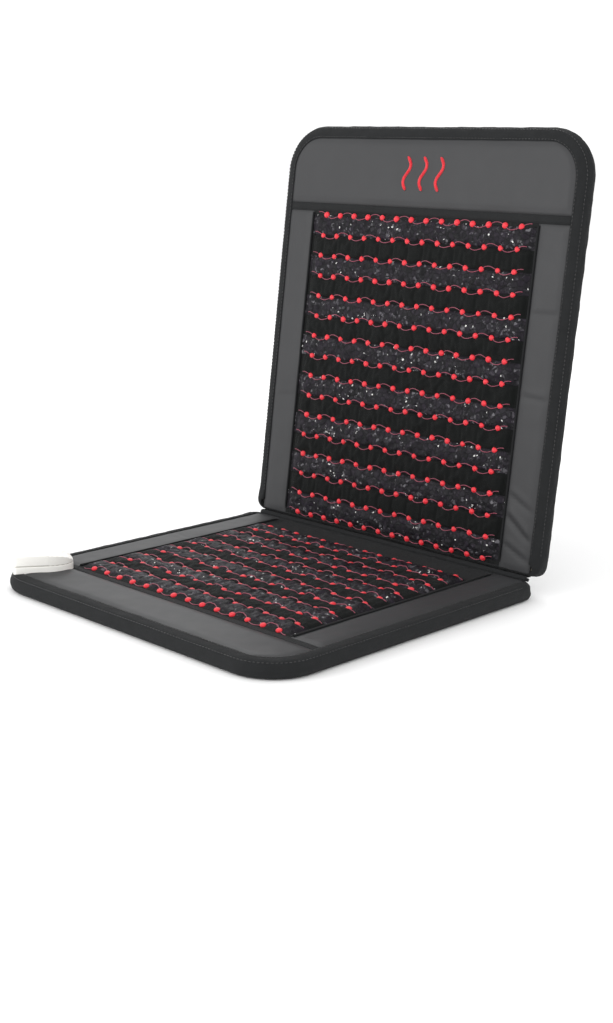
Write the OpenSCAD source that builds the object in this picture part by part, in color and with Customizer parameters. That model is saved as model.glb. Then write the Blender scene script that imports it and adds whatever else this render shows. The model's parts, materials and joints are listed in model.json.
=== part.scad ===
// Folding heated chair mat: a quilted seat panel and a quilted back panel joined by a fabric fold.
// Origin: centre of the seat panel's underside. +X to the right as seen from the front, +Y to the
// back, +Z up.

/* [Panels] */
// Width of the quilted field
field_w = 342; // [300:1:400]
// Width of the flat fabric strip on each side of the field
side_strip_w = 9; // [5:1:16]
// Width of each smooth side border
side_border_w = 42; // [26:1:54]
// Width of the edge binding on the panel's face
binding_w = 16; // [10:1:22]
// Thickness of the binding where it wraps the edge
binding_wrap_t = 2; // [1.5:0.1:3]
// Width of the binding on the edge beside the fold
fold_binding_w = 3; // [2:0.25:3.5]
// Radius of the two free corners of each panel
corner_r = 58; // [40:1:80]
// Radius of the two corners beside the fold
fold_corner_r = 14; // [8:1:20]
// Thickness of a panel at its border
edge_t = 18; // [14:0.5:26]

/* [Layers] */
// Thickness of the backing fabric, and of the binding on both faces
backing_t = 1.2; // [0.8:0.1:2]
// Thickness of the smooth border cover
cover_t = 1.2; // [0.8:0.1:2]
// Thickness of the felt that carries the heating wire
felt_t = 1.2; // [0.8:0.1:2]
// Diameter of the heating wire
wire_d = 1.6; // [1:0.1:2.4]
// Play around a piece that sits in a pocket of the foam
pocket_play = 0.3; // [0.2:0.05:0.6]
// Margin of the felt inside its pocket
felt_margin = 1; // [0.5:0.1:2]
// Length of the thermal cut-out
cutout_l = 14; // [10:1:20]
// Width of the thermal cut-out
cutout_w = 8; // [6:1:12]
// Height of the thermal cut-out
cutout_h = 3.6; // [2.4:0.2:5]
// Length of each of the thermal cut-out's end caps
cutout_cap = 3; // [2:0.5:4]
// Width and depth of the grooves beside those caps
groove = 0.6; // [0.4:0.1:0.8]

/* [Bands] */
// Distance from one seam to the next
band_pitch = 26; // [22:0.5:32]
// Flat width left between two bands at the seam
band_gap = 1.6; // [1:0.1:3]
// Height of a band above the border's face
band_rise = 5; // [3.5:0.5:10]
// Thickness of the mesh sleeve around the crystals
sleeve_t = 0.8; // [0.5:0.1:1.2]
// Play between the crystals and their sleeve
fill_play = 0.1; // [0.1:0.05:0.3]
// Seams on the seat, an even number
seat_rows = 12; // [8:2:14]
// Seams on the back, an even number
back_rows = 16; // [10:2:18]
// Flat margin beyond the first and last seam
row_margin = 5; // [4.5:0.25:5.5]

/* [Embroidery] */
// Dots in a row
dots_per_row = 14; // [10:1:15]
// Distance of the outermost dots from the field's side
dot_margin = 15; // [8:1:30]
// Diameter of a dot
dot_d = 8.2; // [5:0.1:9]
// Thickness of a dot
dot_t = 1.4; // [1:0.1:2]
// Gap between a dot's rim and the bands beside it
dot_lift = 0.15; // [0.1:0.05:0.4]
// Diameter of the linking thread
thread_d = 1; // [0.6:0.1:1.4]
// Diameter of the stitch that holds a dot down
stem_d = 1.1; // [0.6:0.1:1.4]
// Height of the header's emblem
emblem_h = 40; // [24:1:50]
// Sideways swing of each of the emblem's waves
emblem_swing = 5; // [3:0.5:8]
// Width of the emblem's line
emblem_line_w = 3.6; // [2:0.2:5]
// Distance between the emblem's waves
emblem_pitch = 26; // [20:1:34]

/* [Seat] */
// Distance from the seat panel's rear edge to its first seam
seat_first_row = 50; // [30:1:64]
// Depth of the smooth front border
front_border_w = 57; // [45:1:90]

/* [Back] */
// Distance from the back panel's bottom edge to its first seam
back_first_row = 9; // [9:1:40]
// Height of the smooth header
header_h = 82; // [60:1:110]
// Width of the tape between a field and the border beyond it
seam_tape_w = 10; // [6:1:14]

/* [Fold] */
// Angle between the two panels' faces as the mat is made up
opening_deg = 97; // [60:1:130]
// Distance from the fold's axis to each panel's edge
fold_reach = 4; // [3.5:0.5:6]
// Height of the fold's axis above the border's face
fold_lift = 1; // [0.5:0.5:2]
// Diameter of the cord inside the fold
piping_d = 4.4; // [3:0.2:5]
// Thickness of the strip that joins the two panels
fold_strip_t = 0.9; // [0.6:0.1:1.2]
// Depth of the strip's sewn flanges
fold_flange = 7; // [3:0.5:9]
// Gap between the strip and the panels' edges
strip_gap = 0.4; // [0.2:0.1:0.6]

/* [Lead] */
// Diameter of the lead inside the mat
lead_d = 4.4; // [3:0.1:5]
// Height of the lead above the panel's underside
lead_w = 9; // [6:0.5:11]

/* [Connector] */
// Length of the connector housing
conn_l = 70; // [56:1:80]
// Width of the connector housing
conn_w = 42; // [34:1:48]
// Height of the connector housing
conn_h = 22; // [16:0.5:24]
// Length of the part that tapers to the nose
nose_l = 29; // [22:1:34]
// Height of the nose's tip
nose_tip_h = 9.2; // [6:0.2:12]
// Radius of the housing's two corners
conn_corner_r = 4; // [2:0.5:6]
// Wall of the housing
conn_wall = 2; // [1.6:0.1:2.6]
// Height of the housing's lower shell
conn_base_h = 9; // [7:0.5:10]
// Thickness of the seal between the two shells
seal_t = 0.8; // [0.5:0.1:1.2]
// Turn of the housing from straight ahead
conn_turn = 35; // [0:1:60]
// Distance of the housing's centre from the seat panel's side edge
conn_from_side = 38; // [30:1:60]
// Distance of the housing's centre from the seat panel's front edge
conn_from_front = 48; // [40:1:80]
// Width of the socket's mouth
socket_w = 22; // [18:1:26]
// Height of the socket's mouth
socket_h = 9; // [7:0.5:10]
// Depth of the socket
socket_depth = 14; // [11:1:16]
// Wall of the socket around its mouth
socket_wall = 1.4; // [1:0.1:1.8]
// Thickness of the socket's floor
socket_floor = 2.2; // [1.4:0.2:3]
// Distance of the socket's rim behind the housing's end
socket_set_back = 0.6; // [0.2:0.1:1]
// Diameter of a contact pin
pin_d = 2; // [1.5:0.1:2.5]
// Distance between the two contact pins
pin_pitch = 12; // [10:0.5:14]
// Distance of the pins' tips behind the housing's end
pin_set_back = 3; // [2:0.5:5]
// Length of the pins behind the socket's floor
pin_tail = 3; // [2:0.5:5]
// Length of the circuit board
board_l = 32; // [28:1:34]
// Thickness of the circuit board
board_t = 1.6; // [1.2:0.2:2]
// Distance of the board's underside below the lower shell's rim
board_drop = 2.6; // [2:0.2:4]
// Distance of the board's edges from the housing's walls
board_margin = 6; // [5.5:0.5:8]
// Gap between the board and the socket
board_gap = 1; // [0.6:0.2:2]
// Diameter of the housing screws
screw_d = 2.5; // [2:0.1:3]
// Play around a screw, a pin or the socket in the housing
housing_play = 0.1; // [0.05:0.05:0.2]
// Play around a screw in the board
board_play = 0.6; // [0.4:0.1:1]
// Distance of the two front screws from the housing's end
front_screw_x = 22; // [20:1:26]
// Distance of the two front screws from the housing's sides
front_screw_y = 5.5; // [5:0.5:6]
// Distance of the third screw from the nose's tip
nose_screw_x = 23.5; // [22:0.5:26]
// Plastic left above a screw's hole
screw_cover = 5; // [4:0.5:6]
// Distance of the lead's riser from the housing's centre
riser_from_centre = 4; // [2:0.5:6]

/* [Straps] */
// Width of a strap
strap_w = 38; // [25:1:45]
// Thickness of a strap
strap_t = 1.8; // [1.2:0.1:2.4]
// Distance from the back panel's rear face to a strap
strap_drop = 34; // [28:1:60]
// Distance from the panel's side edge to the strap's sewn end
strap_from_side = 34; // [20:1:60]
// Length of the strap's sewn end
strap_foot = 34; // [24:1:50]
// Length across which the strap leaves the panel
strap_slope = 46; // [30:1:80]
// Height of the lower strap above the panel's bottom edge
lower_strap_v = 110; // [60:1:160]
// Distance of the upper strap below the panel's top edge
upper_strap_from_top = 72; // [50:1:120]
// Thickness of the patch sewn over the strap's end
patch_t = 1; // [0.8:0.1:2]
// Margin of the patch inside the strap's end
patch_inset = 2; // [1.5:0.5:4]
// Play between a strap and the slots that it passes through
strap_play = 0.5; // [0.3:0.1:1]
// Play between a strap's wrapped end and its bar
wrap_play = 0.1; // [0.05:0.05:0.3]
// Room around a strap's wrapped end
wrap_room = 1; // [0.6:0.1:1.6]
// Distance of the strap adjuster from the buckle
adjuster_x = 66; // [62:1:80]
// Length of the strap adjuster along the strap
adjuster_l = 18; // [14:1:24]
// Wall of the strap adjuster above and below the strap
adjuster_wall = 2; // [1.6:0.2:3]
// Wall of the strap adjuster at the strap's edges
adjuster_side = 3; // [2:0.2:4]
// Margin of the adjuster's windows
adjuster_margin = 2; // [1.5:0.5:4]

/* [Buckles] */
// Width of the buckle beyond the strap, on each side
buckle_side = 4; // [3.4:0.2:6]
// Thickness of the buckle
buckle_t = 11; // [10:0.5:14]
// Radius of the buckle's corners
buckle_corner_r = 3; // [2:0.5:4]
// Length of the buckle's socket
buckle_socket_l = 28; // [26:1:34]
// Thickness of the socket's inner end
socket_end_t = 3; // [2:0.5:5]
// Distance of the socket's mouth from the panel's centre line
mouth_x = 2; // [0:1:10]
// Gap between the socket's mouth and the plug
mouth_gap = 0.6; // [0.4:0.1:1]
// Length of the plug's body up to its slot
plug_l = 13; // [10:0.5:16]
// Thickness of the plug's body
plug_t = 7.8; // [7:0.2:9]
// Width of the slots that take the straps
slot_l = 7; // [6:0.5:9]
// Thickness of the buckle's prongs
prong_t = 5; // [4:0.2:6]
// Width of a prong's arm
prong_w = 4.6; // [3.6:0.2:5.2]
// Room outside a prong's arm, which it closes when squeezed
prong_room = 4.2; // [3.8:0.2:5]
// Distance of a prong's root from the plug's face
prong_root = 2.6; // [2.4:0.2:4]
// Reach of the prongs into the socket
prong_reach = 21; // [18:0.5:22]
// Room beside a prong's arm where it leaves the plug
arm_room = 1.2; // [1:0.1:2]
// Length of a prong's barb
barb_l = 9; // [7:0.5:11]
// Length of the barb's slanted nose
barb_nose = 4; // [3:0.5:5]
// Height of the barb above the buckle's side
barb_proud = 0.8; // [0.4:0.1:1.2]
// Chamfer at a prong's tip
tip_chamfer = 1; // [0.5:0.1:1.5]
// Width of the plug's middle tongue
tongue_w = 8; // [6:0.5:10]
// Distance of the tongue's tip behind the prongs' tips
tongue_back = 2; // [1:0.5:5]
// Radius of the bars that the straps wrap
bar_r = 2.2; // [1.8:0.1:2.6]
// Play between moving pieces of the buckle and the adjuster
buckle_play = 0.4; // [0.3:0.05:0.6]

/* [Hidden] */
$fn = 48;
eps = 0.01;
cut = 1;

half_w = field_w / 2 + side_strip_w + side_border_w + binding_w;
seat_field_end = seat_first_row + (seat_rows - 1) * band_pitch + row_margin;
back_field_end = back_first_row + (back_rows - 1) * band_pitch + row_margin;
seat_l = seat_field_end + seam_tape_w + front_border_w + binding_w;
back_l = back_field_end + seam_tape_w + header_h + binding_w;

// Heights above a panel's underside
foam_top = edge_t - cover_t;
wire_w = edge_t - cover_t - wire_d / 2;
felt_w = wire_w - wire_d / 2 - felt_t;

// The fold's axis
hinge_y = seat_l / 2 + fold_reach;
hinge_z = edge_t + fold_lift;
fold_deg = 180 - opening_deg;

// A band's rounded section
band_w = band_pitch - band_gap;
band_r = (pow(band_w / 2, 2) + pow(band_rise, 2)) / (2 * band_rise);
band_end_r = band_rise;
// Height at which a dot's rim clears the two bands beside it
dot_clear = dot_d / 2 - band_gap / 2;
dot_w = edge_t + sqrt(pow(band_r, 2) - pow(band_w / 2 - dot_clear, 2)) - (band_r - band_rise) + dot_lift;

lead_x = -(field_w / 2 + side_strip_w + side_border_w / 2);
back_lead_l = back_first_row + 2 * band_pitch;
field_base_half = field_w / 2 + side_strip_w;
dot_pitch = (field_w - 2 * dot_margin) / (dots_per_row - 1);
upper_strap_v = back_l - upper_strap_from_top;

// The connector, in its own frame: length from socket to nose, width, height from the border's face
nose_start = conn_l / 2 - nose_l;
conn_x = -(half_w - conn_from_side);
conn_v = seat_l - conn_from_front;
board_h = conn_base_h - board_drop;
socket_z = conn_h / 2;
socket_end = -conn_l / 2 + socket_depth + socket_floor;
riser_v = conn_v - riser_from_centre * cos(conn_turn);

// The buckle, in its own frame: x along the strap from the socket's mouth, y across, z thickness
buckle_half = strap_w / 2 + buckle_side;
cavity_half = strap_w / 2 + buckle_play;
cavity_h = prong_t + 4 * buckle_play;
socket_back_x = mouth_x - buckle_socket_l;
socket_bar_x = socket_back_x - slot_l - bar_r;
plug_x = mouth_x + mouth_gap;
plug_bar_x = plug_x + plug_l + slot_l + bar_r;
prong_root_x = plug_x + prong_root;
prong_root_r = prong_w / 2;
prong_v = cavity_half - prong_w / 2 - prong_room;
prong_tip_x = mouth_x - prong_reach;
bar_room = bar_r + strap_t + wrap_room;
strap_turn_x = half_w - strap_from_side - strap_foot;
strap_level_x = strap_turn_x - strap_slope;

// ---- Places. A panel is drawn flat: x across, y from the fold edge to the free edge, z up. ----

module on_seat() {
    translate([0, seat_l / 2, 0]) mirror([0, 1, 0]) children();
}

module on_back() {
    translate([0, hinge_y, hinge_z])
        rotate([fold_deg, 0, 0])
            translate([0, fold_reach, -hinge_z]) children();
}

module on_connector() {
    on_seat()
        translate([conn_x, conn_v, edge_t])
            rotate([0, 0, conn_turn - 90]) children();
}

module on_strap(v) {
    on_back() translate([0, v, -strap_drop]) children();
}

// ---- Shared shapes ----

// A panel's outline, drawn in by inset, with its fold edge drawn in by fold_inset
module panel_outline(len, inset = 0, fold_inset = 0) {
    half = half_w - inset;
    free_r = corner_r - inset;
    fold_r = max(fold_corner_r - inset, 1);
    low = fold_inset;
    high = len - inset;
    translate([-half, low + fold_r]) square([2 * half, high - free_r - low - fold_r]);
    translate([-half + free_r, high - free_r - eps]) square([2 * (half - free_r), free_r + eps]);
    translate([-half + fold_r, low]) square([2 * (half - fold_r), fold_r + eps]);
    for (side = [-1, 1]) {
        translate([side * (half - free_r), high - free_r]) circle(free_r, $fn = 96);
        translate([side * (half - fold_r), low + fold_r]) circle(fold_r);
    }
}

module slab(low, high) {
    translate([0, 0, low]) linear_extrude(high - low) children();
}

module strip(x0, x1, y0, y1) {
    translate([x0, y0]) square([x1 - x0, y1 - y0]);
}

// The lead's channel along a panel, open at the fold edge
module lead_bore(to, play = pocket_play) {
    translate([lead_x, -cut, lead_w])
        rotate([-90, 0, 0]) cylinder(d = lead_d + 2 * play, h = to + cut);
}

module backing(len) {
    slab(0, backing_t) panel_outline(len, binding_w, fold_binding_w);
}

module binding(len) {
    difference() {
        slab(0, edge_t) panel_outline(len);
        slab(backing_t, foam_top) panel_outline(len, binding_wrap_t, binding_wrap_t);
        slab(-cut, edge_t + cut) panel_outline(len, binding_w, fold_binding_w);
        lead_bore(binding_wrap_t + cut);
    }
}

// The part of a panel's face that lies inside its binding, between two distances from the fold
module face_region(len, from, to) {
    intersection() {
        panel_outline(len, binding_w, fold_binding_w);
        strip(-half_w, half_w, from, to);
    }
}

module side_border(side, field_end) {
    slab(foam_top, edge_t)
        intersection() {
            panel_outline(field_end + corner_r + binding_w, binding_w, fold_binding_w);
            translate([side * (field_base_half + side_border_w / 2) - side_border_w / 2, 0])
                square([side_border_w, field_end]);
        }
}

// The foam core, with the pocket for felt, wire and base sheet, and the pocket for the cut-out
module foam(len, first_row, field_end, lead_to) {
    difference() {
        slab(backing_t, foam_top) panel_outline(len, binding_wrap_t, binding_wrap_t);
        slab(felt_w, foam_top + cut)
            strip(-field_base_half, field_base_half, first_row - row_margin, field_end);
        lead_bore(lead_to);
        cutout_box(first_row, pocket_play);
    }
}

module heater_felt(first_row, field_end) {
    slab(felt_w, felt_w + felt_t)
        strip(-field_base_half + felt_margin, field_base_half - felt_margin,
              first_row - row_margin + felt_margin, field_end - felt_margin);
}

// A wire laid in parallel runs, one under each band, joined by half turns at alternating ends
module heating_wire(first_row, rows) {
    run_half = field_w / 2 - band_pitch;
    for (i = [0:rows - 2]) {
        v = first_row + (i + 0.5) * band_pitch;
        translate([-run_half, v, wire_w]) rotate([0, 90, 0]) cylinder(d = wire_d, h = 2 * run_half);
        if (i < rows - 2)
            translate([(i % 2 == 0 ? 1 : -1) * run_half, v + band_pitch / 2, wire_w])
                rotate([0, 0, i % 2 == 0 ? -90 : 90])
                    rotate_extrude(angle = 180) translate([band_pitch / 2, 0]) circle(d = wire_d);
    }
}

module field_base(first_row, field_end) {
    slab(foam_top, edge_t)
        strip(-field_base_half, field_base_half, first_row - row_margin, field_end);
}

// One band: a circular segment across, rounded down at both ends, drawn in by inset
module band(inset = 0) {
    r = band_r - inset;
    end_r = band_end_r - inset;
    long = field_w / 2 - inset;
    intersection() {
        translate([-long, 0, edge_t - (band_r - band_rise)])
            rotate([90, 0, 90]) linear_extrude(2 * long) circle(r, $fn = 96);
        translate([0, band_w / 2, edge_t + inset])
            rotate([90, 0, 0]) linear_extrude(band_w) {
                translate([-long + end_r, 0]) square([2 * (long - end_r), band_rise]);
                for (side = [-1, 1])
                    intersection() {
                        translate([side * (long - end_r), 0]) circle(end_r);
                        translate([-long, 0]) square([2 * long, band_rise]);
                    }
            }
    }
}

module bands(first_row, rows, first) {
    for (i = [first:2:rows - 2])
        translate([0, first_row + (i + 0.5) * band_pitch, 0]) children();
}

module crystal_sleeve() {
    difference() {
        band();
        band(sleeve_t);
    }
}

// One row of dots, held down by a stitch each and linked by the thread
module dot_row() {
    first = -(dots_per_row - 1) / 2 * dot_pitch;
    for (i = [0:dots_per_row - 1])
        translate([first + i * dot_pitch, 0, 0]) {
            translate([0, 0, dot_w]) cylinder(d = dot_d, h = dot_t);
            translate([0, 0, edge_t]) cylinder(d = stem_d, h = dot_w - edge_t + eps);
        }
    translate([first, -thread_d / 2, dot_w])
        cube([(dots_per_row - 1) * dot_pitch, thread_d, thread_d]);
}

module embroidery(first_row, rows) {
    for (i = [0:rows - 1])
        translate([0, first_row + i * band_pitch, 0]) dot_row();
}

// The space of the thermal cut-out, under the felt
module cutout_box(first_row, play = 0) {
    translate([-cutout_l / 2 - play, first_row + 2.5 * band_pitch - cutout_w / 2 - play,
               felt_w - cutout_h - play])
        cube([cutout_l + 2 * play, cutout_w + 2 * play, cutout_h + play]);
}

module thermal_cutout(first_row) {
    difference() {
        cutout_box(first_row);
        // Moulded grooves that part the body from its two end caps
        for (side = [-1, 1])
            translate([side * (cutout_l / 2 - cutout_cap) - groove / 2, first_row + 2 * band_pitch,
                       felt_w - groove])
                cube([groove, band_pitch, 2 * groove]);
    }
}

// A flat band of constant thickness along a path
module ribbon(path, thick) {
    for (i = [0:len(path) - 2]) {
        d = path[i + 1] - path[i];
        translate(path[i]) rotate(atan2(d[1], d[0])) translate([0, -thick / 2]) square([norm(d), thick]);
        if (i > 0) translate(path[i]) circle(d = thick);
    }
}

// ---- Seat panel ----

module seat_backing() {
    color("#262628") on_seat() backing(seat_l);
}

module seat_foam() {
    color("#e6dcc0") on_seat()
        difference() {
            foam(seat_l, seat_first_row, seat_field_end, riser_v);
            riser_bore();
        }
}

module seat_heater_felt() {
    color("#8d8f92") on_seat() heater_felt(seat_first_row, seat_field_end);
}

module seat_heating_wire() {
    color("#b4552d") on_seat() heating_wire(seat_first_row, seat_rows);
}

module seat_field_base() {
    color("#141415") on_seat() field_base(seat_first_row, seat_field_end);
}

module seat_crystal_sleeves() {
    color("#2c2b31") on_seat() bands(seat_first_row, seat_rows, 0) crystal_sleeve();
}

module seat_crystal_fill() {
    color("#4b4456") on_seat() bands(seat_first_row, seat_rows, 0) band(sleeve_t + fill_play);
}

module seat_padded_bands() {
    color("#111112") on_seat() bands(seat_first_row, seat_rows, 1) band();
}

module seat_embroidery() {
    color("#d81e2c") on_seat() embroidery(seat_first_row, seat_rows);
}

module seat_left_border() {
    color("#58595b") on_seat() side_border(-1, seat_field_end);
}

module seat_right_border() {
    color("#58595b") on_seat() side_border(1, seat_field_end);
}

module seat_front_border() {
    color("#58595b") on_seat()
        difference() {
            slab(foam_top, edge_t) face_region(seat_l, seat_field_end + seam_tape_w, seat_l);
            riser_bore();
        }
}

module seat_seam_tape() {
    color("#101011") on_seat()
        slab(foam_top, edge_t) face_region(seat_l, seat_field_end, seat_field_end + seam_tape_w);
}

module seat_rear_strip() {
    color("#101011") on_seat()
        slab(foam_top, edge_t)
            strip(-field_base_half, field_base_half, fold_binding_w, seat_first_row - row_margin);
}

module seat_binding() {
    color("#161617") on_seat()
        difference() {
            binding(seat_l);
            riser_bore();
        }
}

module seat_thermal_cutout() {
    color("#d8d2c2") on_seat() thermal_cutout(seat_first_row);
}

// ---- Lead: along the left side of the seat, up into the connector, and across the fold ----

module riser_bore() {
    translate([lead_x, riser_v, lead_w])
        cylinder(d = lead_d + 2 * pocket_play, h = edge_t - lead_w + cut);
    translate([lead_x, riser_v, lead_w]) sphere(d = lead_d + 2 * pocket_play);
}

module seat_lead() {
    color("#2e2e30") on_seat() {
        translate([lead_x, 0, lead_w]) rotate([-90, 0, 0]) cylinder(d = lead_d, h = riser_v);
        translate([lead_x, riser_v, lead_w]) sphere(d = lead_d);
        translate([lead_x, riser_v, lead_w])
            cylinder(d = lead_d, h = edge_t + board_h - housing_play - lead_w);
    }
}

module fold_lead() {
    r = hinge_z - lead_w;
    color("#2e2e30") translate([lead_x, hinge_y, hinge_z]) {
        translate([0, -fold_reach, -r]) rotate([-90, 0, 0]) cylinder(d = lead_d, h = fold_reach);
        rotate([0, 90, 0]) rotate_extrude(angle = fold_deg) translate([r, 0]) circle(d = lead_d);
        rotate([fold_deg, 0, 0]) translate([0, 0, -r]) rotate([-90, 0, 0])
            cylinder(d = lead_d, h = fold_reach);
    }
}

module back_lead() {
    color("#2e2e30") on_back() translate([lead_x, 0, lead_w]) rotate([-90, 0, 0])
        cylinder(d = lead_d, h = back_lead_l);
}

// ---- Fold ----

module fold_piping() {
    color("#161617") translate([-half_w + fold_corner_r, hinge_y, hinge_z])
        rotate([0, 90, 0]) cylinder(d = piping_d, h = 2 * (half_w - fold_corner_r));
}

// Fabric that covers the piping and is sewn to both panels' edges
module fold_strip() {
    r_out = fold_reach - strip_gap;
    r_in = r_out - fold_strip_t;
    steps = 12;
    turned = function(x, y) [x * cos(fold_deg) - y * sin(fold_deg), x * sin(fold_deg) + y * cos(fold_deg)];
    arc = function(r, k) let (a = 180 + (fold_deg - 180) * k / steps) r * [cos(a), sin(a)];
    section = concat(
        [[-r_in, -fold_flange], [-r_out, -fold_flange]],
        [for (k = [0:steps]) arc(r_out, k)],
        [turned(r_out, -fold_flange), turned(r_in, -fold_flange)],
        [for (k = [steps:-1:0]) arc(r_in, k)]
    );
    color("#101011") translate([-half_w + fold_corner_r, hinge_y, hinge_z])
        rotate([90, 0, 90]) linear_extrude(2 * (half_w - fold_corner_r)) polygon(section);
}

// ---- Back panel ----

module back_backing() {
    color("#262628") on_back() backing(back_l);
}

module back_foam() {
    color("#e6dcc0") on_back() foam(back_l, back_first_row, back_field_end, back_lead_l);
}

module back_heater_felt() {
    color("#8d8f92") on_back() heater_felt(back_first_row, back_field_end);
}

module back_heating_wire() {
    color("#b4552d") on_back() heating_wire(back_first_row, back_rows);
}

module back_field_base() {
    color("#141415") on_back() field_base(back_first_row, back_field_end);
}

module back_crystal_sleeves() {
    color("#2c2b31") on_back() bands(back_first_row, back_rows, 0) crystal_sleeve();
}

module back_crystal_fill() {
    color("#4b4456") on_back() bands(back_first_row, back_rows, 0) band(sleeve_t + fill_play);
}

module back_padded_bands() {
    color("#111112") on_back() bands(back_first_row, back_rows, 1) band();
}

module back_embroidery() {
    color("#d81e2c") on_back() embroidery(back_first_row, back_rows);
}

module back_left_border() {
    color("#58595b") on_back() side_border(-1, back_field_end);
}

module back_right_border() {
    color("#58595b") on_back() side_border(1, back_field_end);
}

module back_header() {
    color("#58595b") on_back()
        slab(foam_top, edge_t) face_region(back_l, back_field_end + seam_tape_w, back_l);
}

module back_seam_tape() {
    color("#101011") on_back()
        slab(foam_top, edge_t) face_region(back_l, back_field_end, back_field_end + seam_tape_w);
}

module back_bottom_strip() {
    color("#101011") on_back()
        slab(foam_top, edge_t)
            strip(-field_base_half, field_base_half, fold_binding_w, back_first_row - row_margin);
}

module back_binding() {
    color("#161617") on_back() binding(back_l);
}

// Three rising waves, as a plain sign for warmth
module back_emblem() {
    right_side = [for (t = [-1:0.1:1]) [emblem_swing * sin(180 * t) + emblem_line_w / 2, t * emblem_h / 2]];
    left_side = [for (t = [1:-0.1:-1]) [emblem_swing * sin(180 * t) - emblem_line_w / 2, t * emblem_h / 2]];
    color("#d81e2c") on_back()
        translate([0, back_field_end + seam_tape_w + header_h / 2, edge_t])
            for (i = [-1:1])
                translate([i * emblem_pitch, 0, 0]) linear_extrude(thread_d)
                    polygon(concat(right_side, left_side));
}

module back_thermal_cutout() {
    color("#d8d2c2") on_back() thermal_cutout(back_first_row);
}

// ---- Connector: x from the socket's mouth to the nose, y across, z from the border's face ----

// The plan: a block with rounded corners and an elliptic nose, drawn in by inset
module conn_plan(inset = 0) {
    half = conn_w / 2 - inset;
    start = -conn_l / 2 + inset;
    corner = conn_corner_r - inset / 2;
    translate([start + corner, -half]) square([nose_start - start - corner, 2 * half]);
    translate([start, -half + corner]) square([corner + eps, 2 * (half - corner)]);
    for (side = [-1, 1])
        translate([start + corner, side * (half - corner)]) circle(corner);
    polygon([for (a = [-90:6:90]) [nose_start - eps + (nose_l - inset) * cos(a), half * sin(a)]]);
}

// The side view: flat over the block, falling along the nose
module conn_profile(inset = 0) {
    top = conn_h - inset;
    rise = top - nose_tip_h;
    polygon(concat(
        [[-conn_l / 2 - cut, -cut], [-conn_l / 2 - cut, top], [nose_start, top]],
        [for (a = [80:-10:0]) [nose_start + (nose_l - inset) * cos(a), nose_tip_h + rise * sin(a)]],
        [[conn_l / 2 + cut - inset, nose_tip_h], [conn_l / 2 + cut - inset, -cut]]
    ));
}

module conn_solid(inset = 0) {
    intersection() {
        linear_extrude(conn_h) conn_plan(inset);
        translate([0, conn_w / 2 + cut, 0]) rotate([90, 0, 0])
            linear_extrude(conn_w + 2 * cut) conn_profile(inset);
    }
}

module conn_cavity(low, high) {
    intersection() {
        conn_solid(conn_wall);
        translate([socket_end + housing_play, -conn_w, low]) cube([conn_l, 2 * conn_w, high - low]);
    }
}

// A box around the socket's mouth, drawn out by a margin on each side
module socket_box(from, to, margin) {
    translate([from, -socket_w / 2 - margin, socket_z - socket_h / 2 - margin])
        cube([to - from, socket_w + 2 * margin, socket_h + 2 * margin]);
}

module socket_bore() {
    socket_box(-conn_l / 2 - cut, socket_end + housing_play + eps, socket_wall + housing_play);
}

module screw_places() {
    for (side = [-1, 1])
        translate([-conn_l / 2 + front_screw_x, side * (conn_w / 2 - front_screw_y), 0]) children();
    translate([conn_l / 2 - nose_screw_x, 0, 0]) children();
}

module screw_hole(top, play) {
    translate([0, 0, -cut]) cylinder(d = screw_d + play, h = top + cut);
}

module conn_riser_bore(play) {
    // The riser's place in the connector's own frame
    dx = lead_x - conn_x;
    dv = riser_v - conn_v;
    translate([dx * sin(conn_turn) - dv * cos(conn_turn), dx * cos(conn_turn) + dv * sin(conn_turn), -cut])
        cylinder(d = lead_d + 2 * play, h = conn_base_h);
}

module connector_base() {
    color("#efeadf") on_connector()
        difference() {
            intersection() {
                conn_solid();
                cube([2 * conn_l, 2 * conn_w, 2 * conn_base_h], center = true);
            }
            conn_cavity(conn_wall, conn_h);
            socket_bore();
            conn_riser_bore(pocket_play);
            screw_places() screw_hole(conn_h, housing_play);
        }
}

module connector_gasket() {
    color("#bfbab0") on_connector()
        difference() {
            translate([0, 0, conn_base_h]) linear_extrude(seal_t)
                difference() {
                    conn_plan(conn_wall / 4);
                    conn_plan(conn_wall * 3 / 4);
                }
            socket_bore();
            screw_places() screw_hole(conn_h, housing_play);
        }
}

module connector_cover() {
    color("#f4f0e6") on_connector()
        difference() {
            intersection() {
                conn_solid();
                translate([-conn_l, -conn_w, conn_base_h + seal_t]) cube([2 * conn_l, 2 * conn_w, conn_h]);
            }
            conn_cavity(0, conn_h - conn_wall);
            socket_bore();
            screw_places() screw_hole(conn_h - screw_cover, housing_play);
        }
}

module connector_socket() {
    color("#1c1c1e") on_connector()
        difference() {
            socket_box(-conn_l / 2 + socket_set_back, socket_end, socket_wall);
            socket_box(-conn_l / 2, -conn_l / 2 + socket_depth, 0);
            pins(housing_play / 2);
        }
}

module pins(play = 0) {
    for (side = [-1, 1])
        translate([-conn_l / 2 + pin_set_back, side * pin_pitch / 2, socket_z]) rotate([0, 90, 0])
            cylinder(d = pin_d + 2 * play, h = socket_depth + socket_floor + pin_tail - pin_set_back);
}

module connector_pins() {
    color("#c9a24a") on_connector() pins();
}

module connector_board() {
    half = conn_w / 2 - conn_wall - board_margin;
    color("#2f6b3a") on_connector()
        difference() {
            translate([socket_end + board_gap, -half, board_h]) cube([board_l, 2 * half, board_t]);
            screw_places() screw_hole(conn_h, board_play);
        }
}

module connector_screws() {
    color("#9a9ca0") on_connector()
        screw_places() cylinder(d = screw_d, h = conn_h - screw_cover - cut);
}

// ---- Straps and buckles: x along the strap, y up the back, z toward the panel ----

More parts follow.
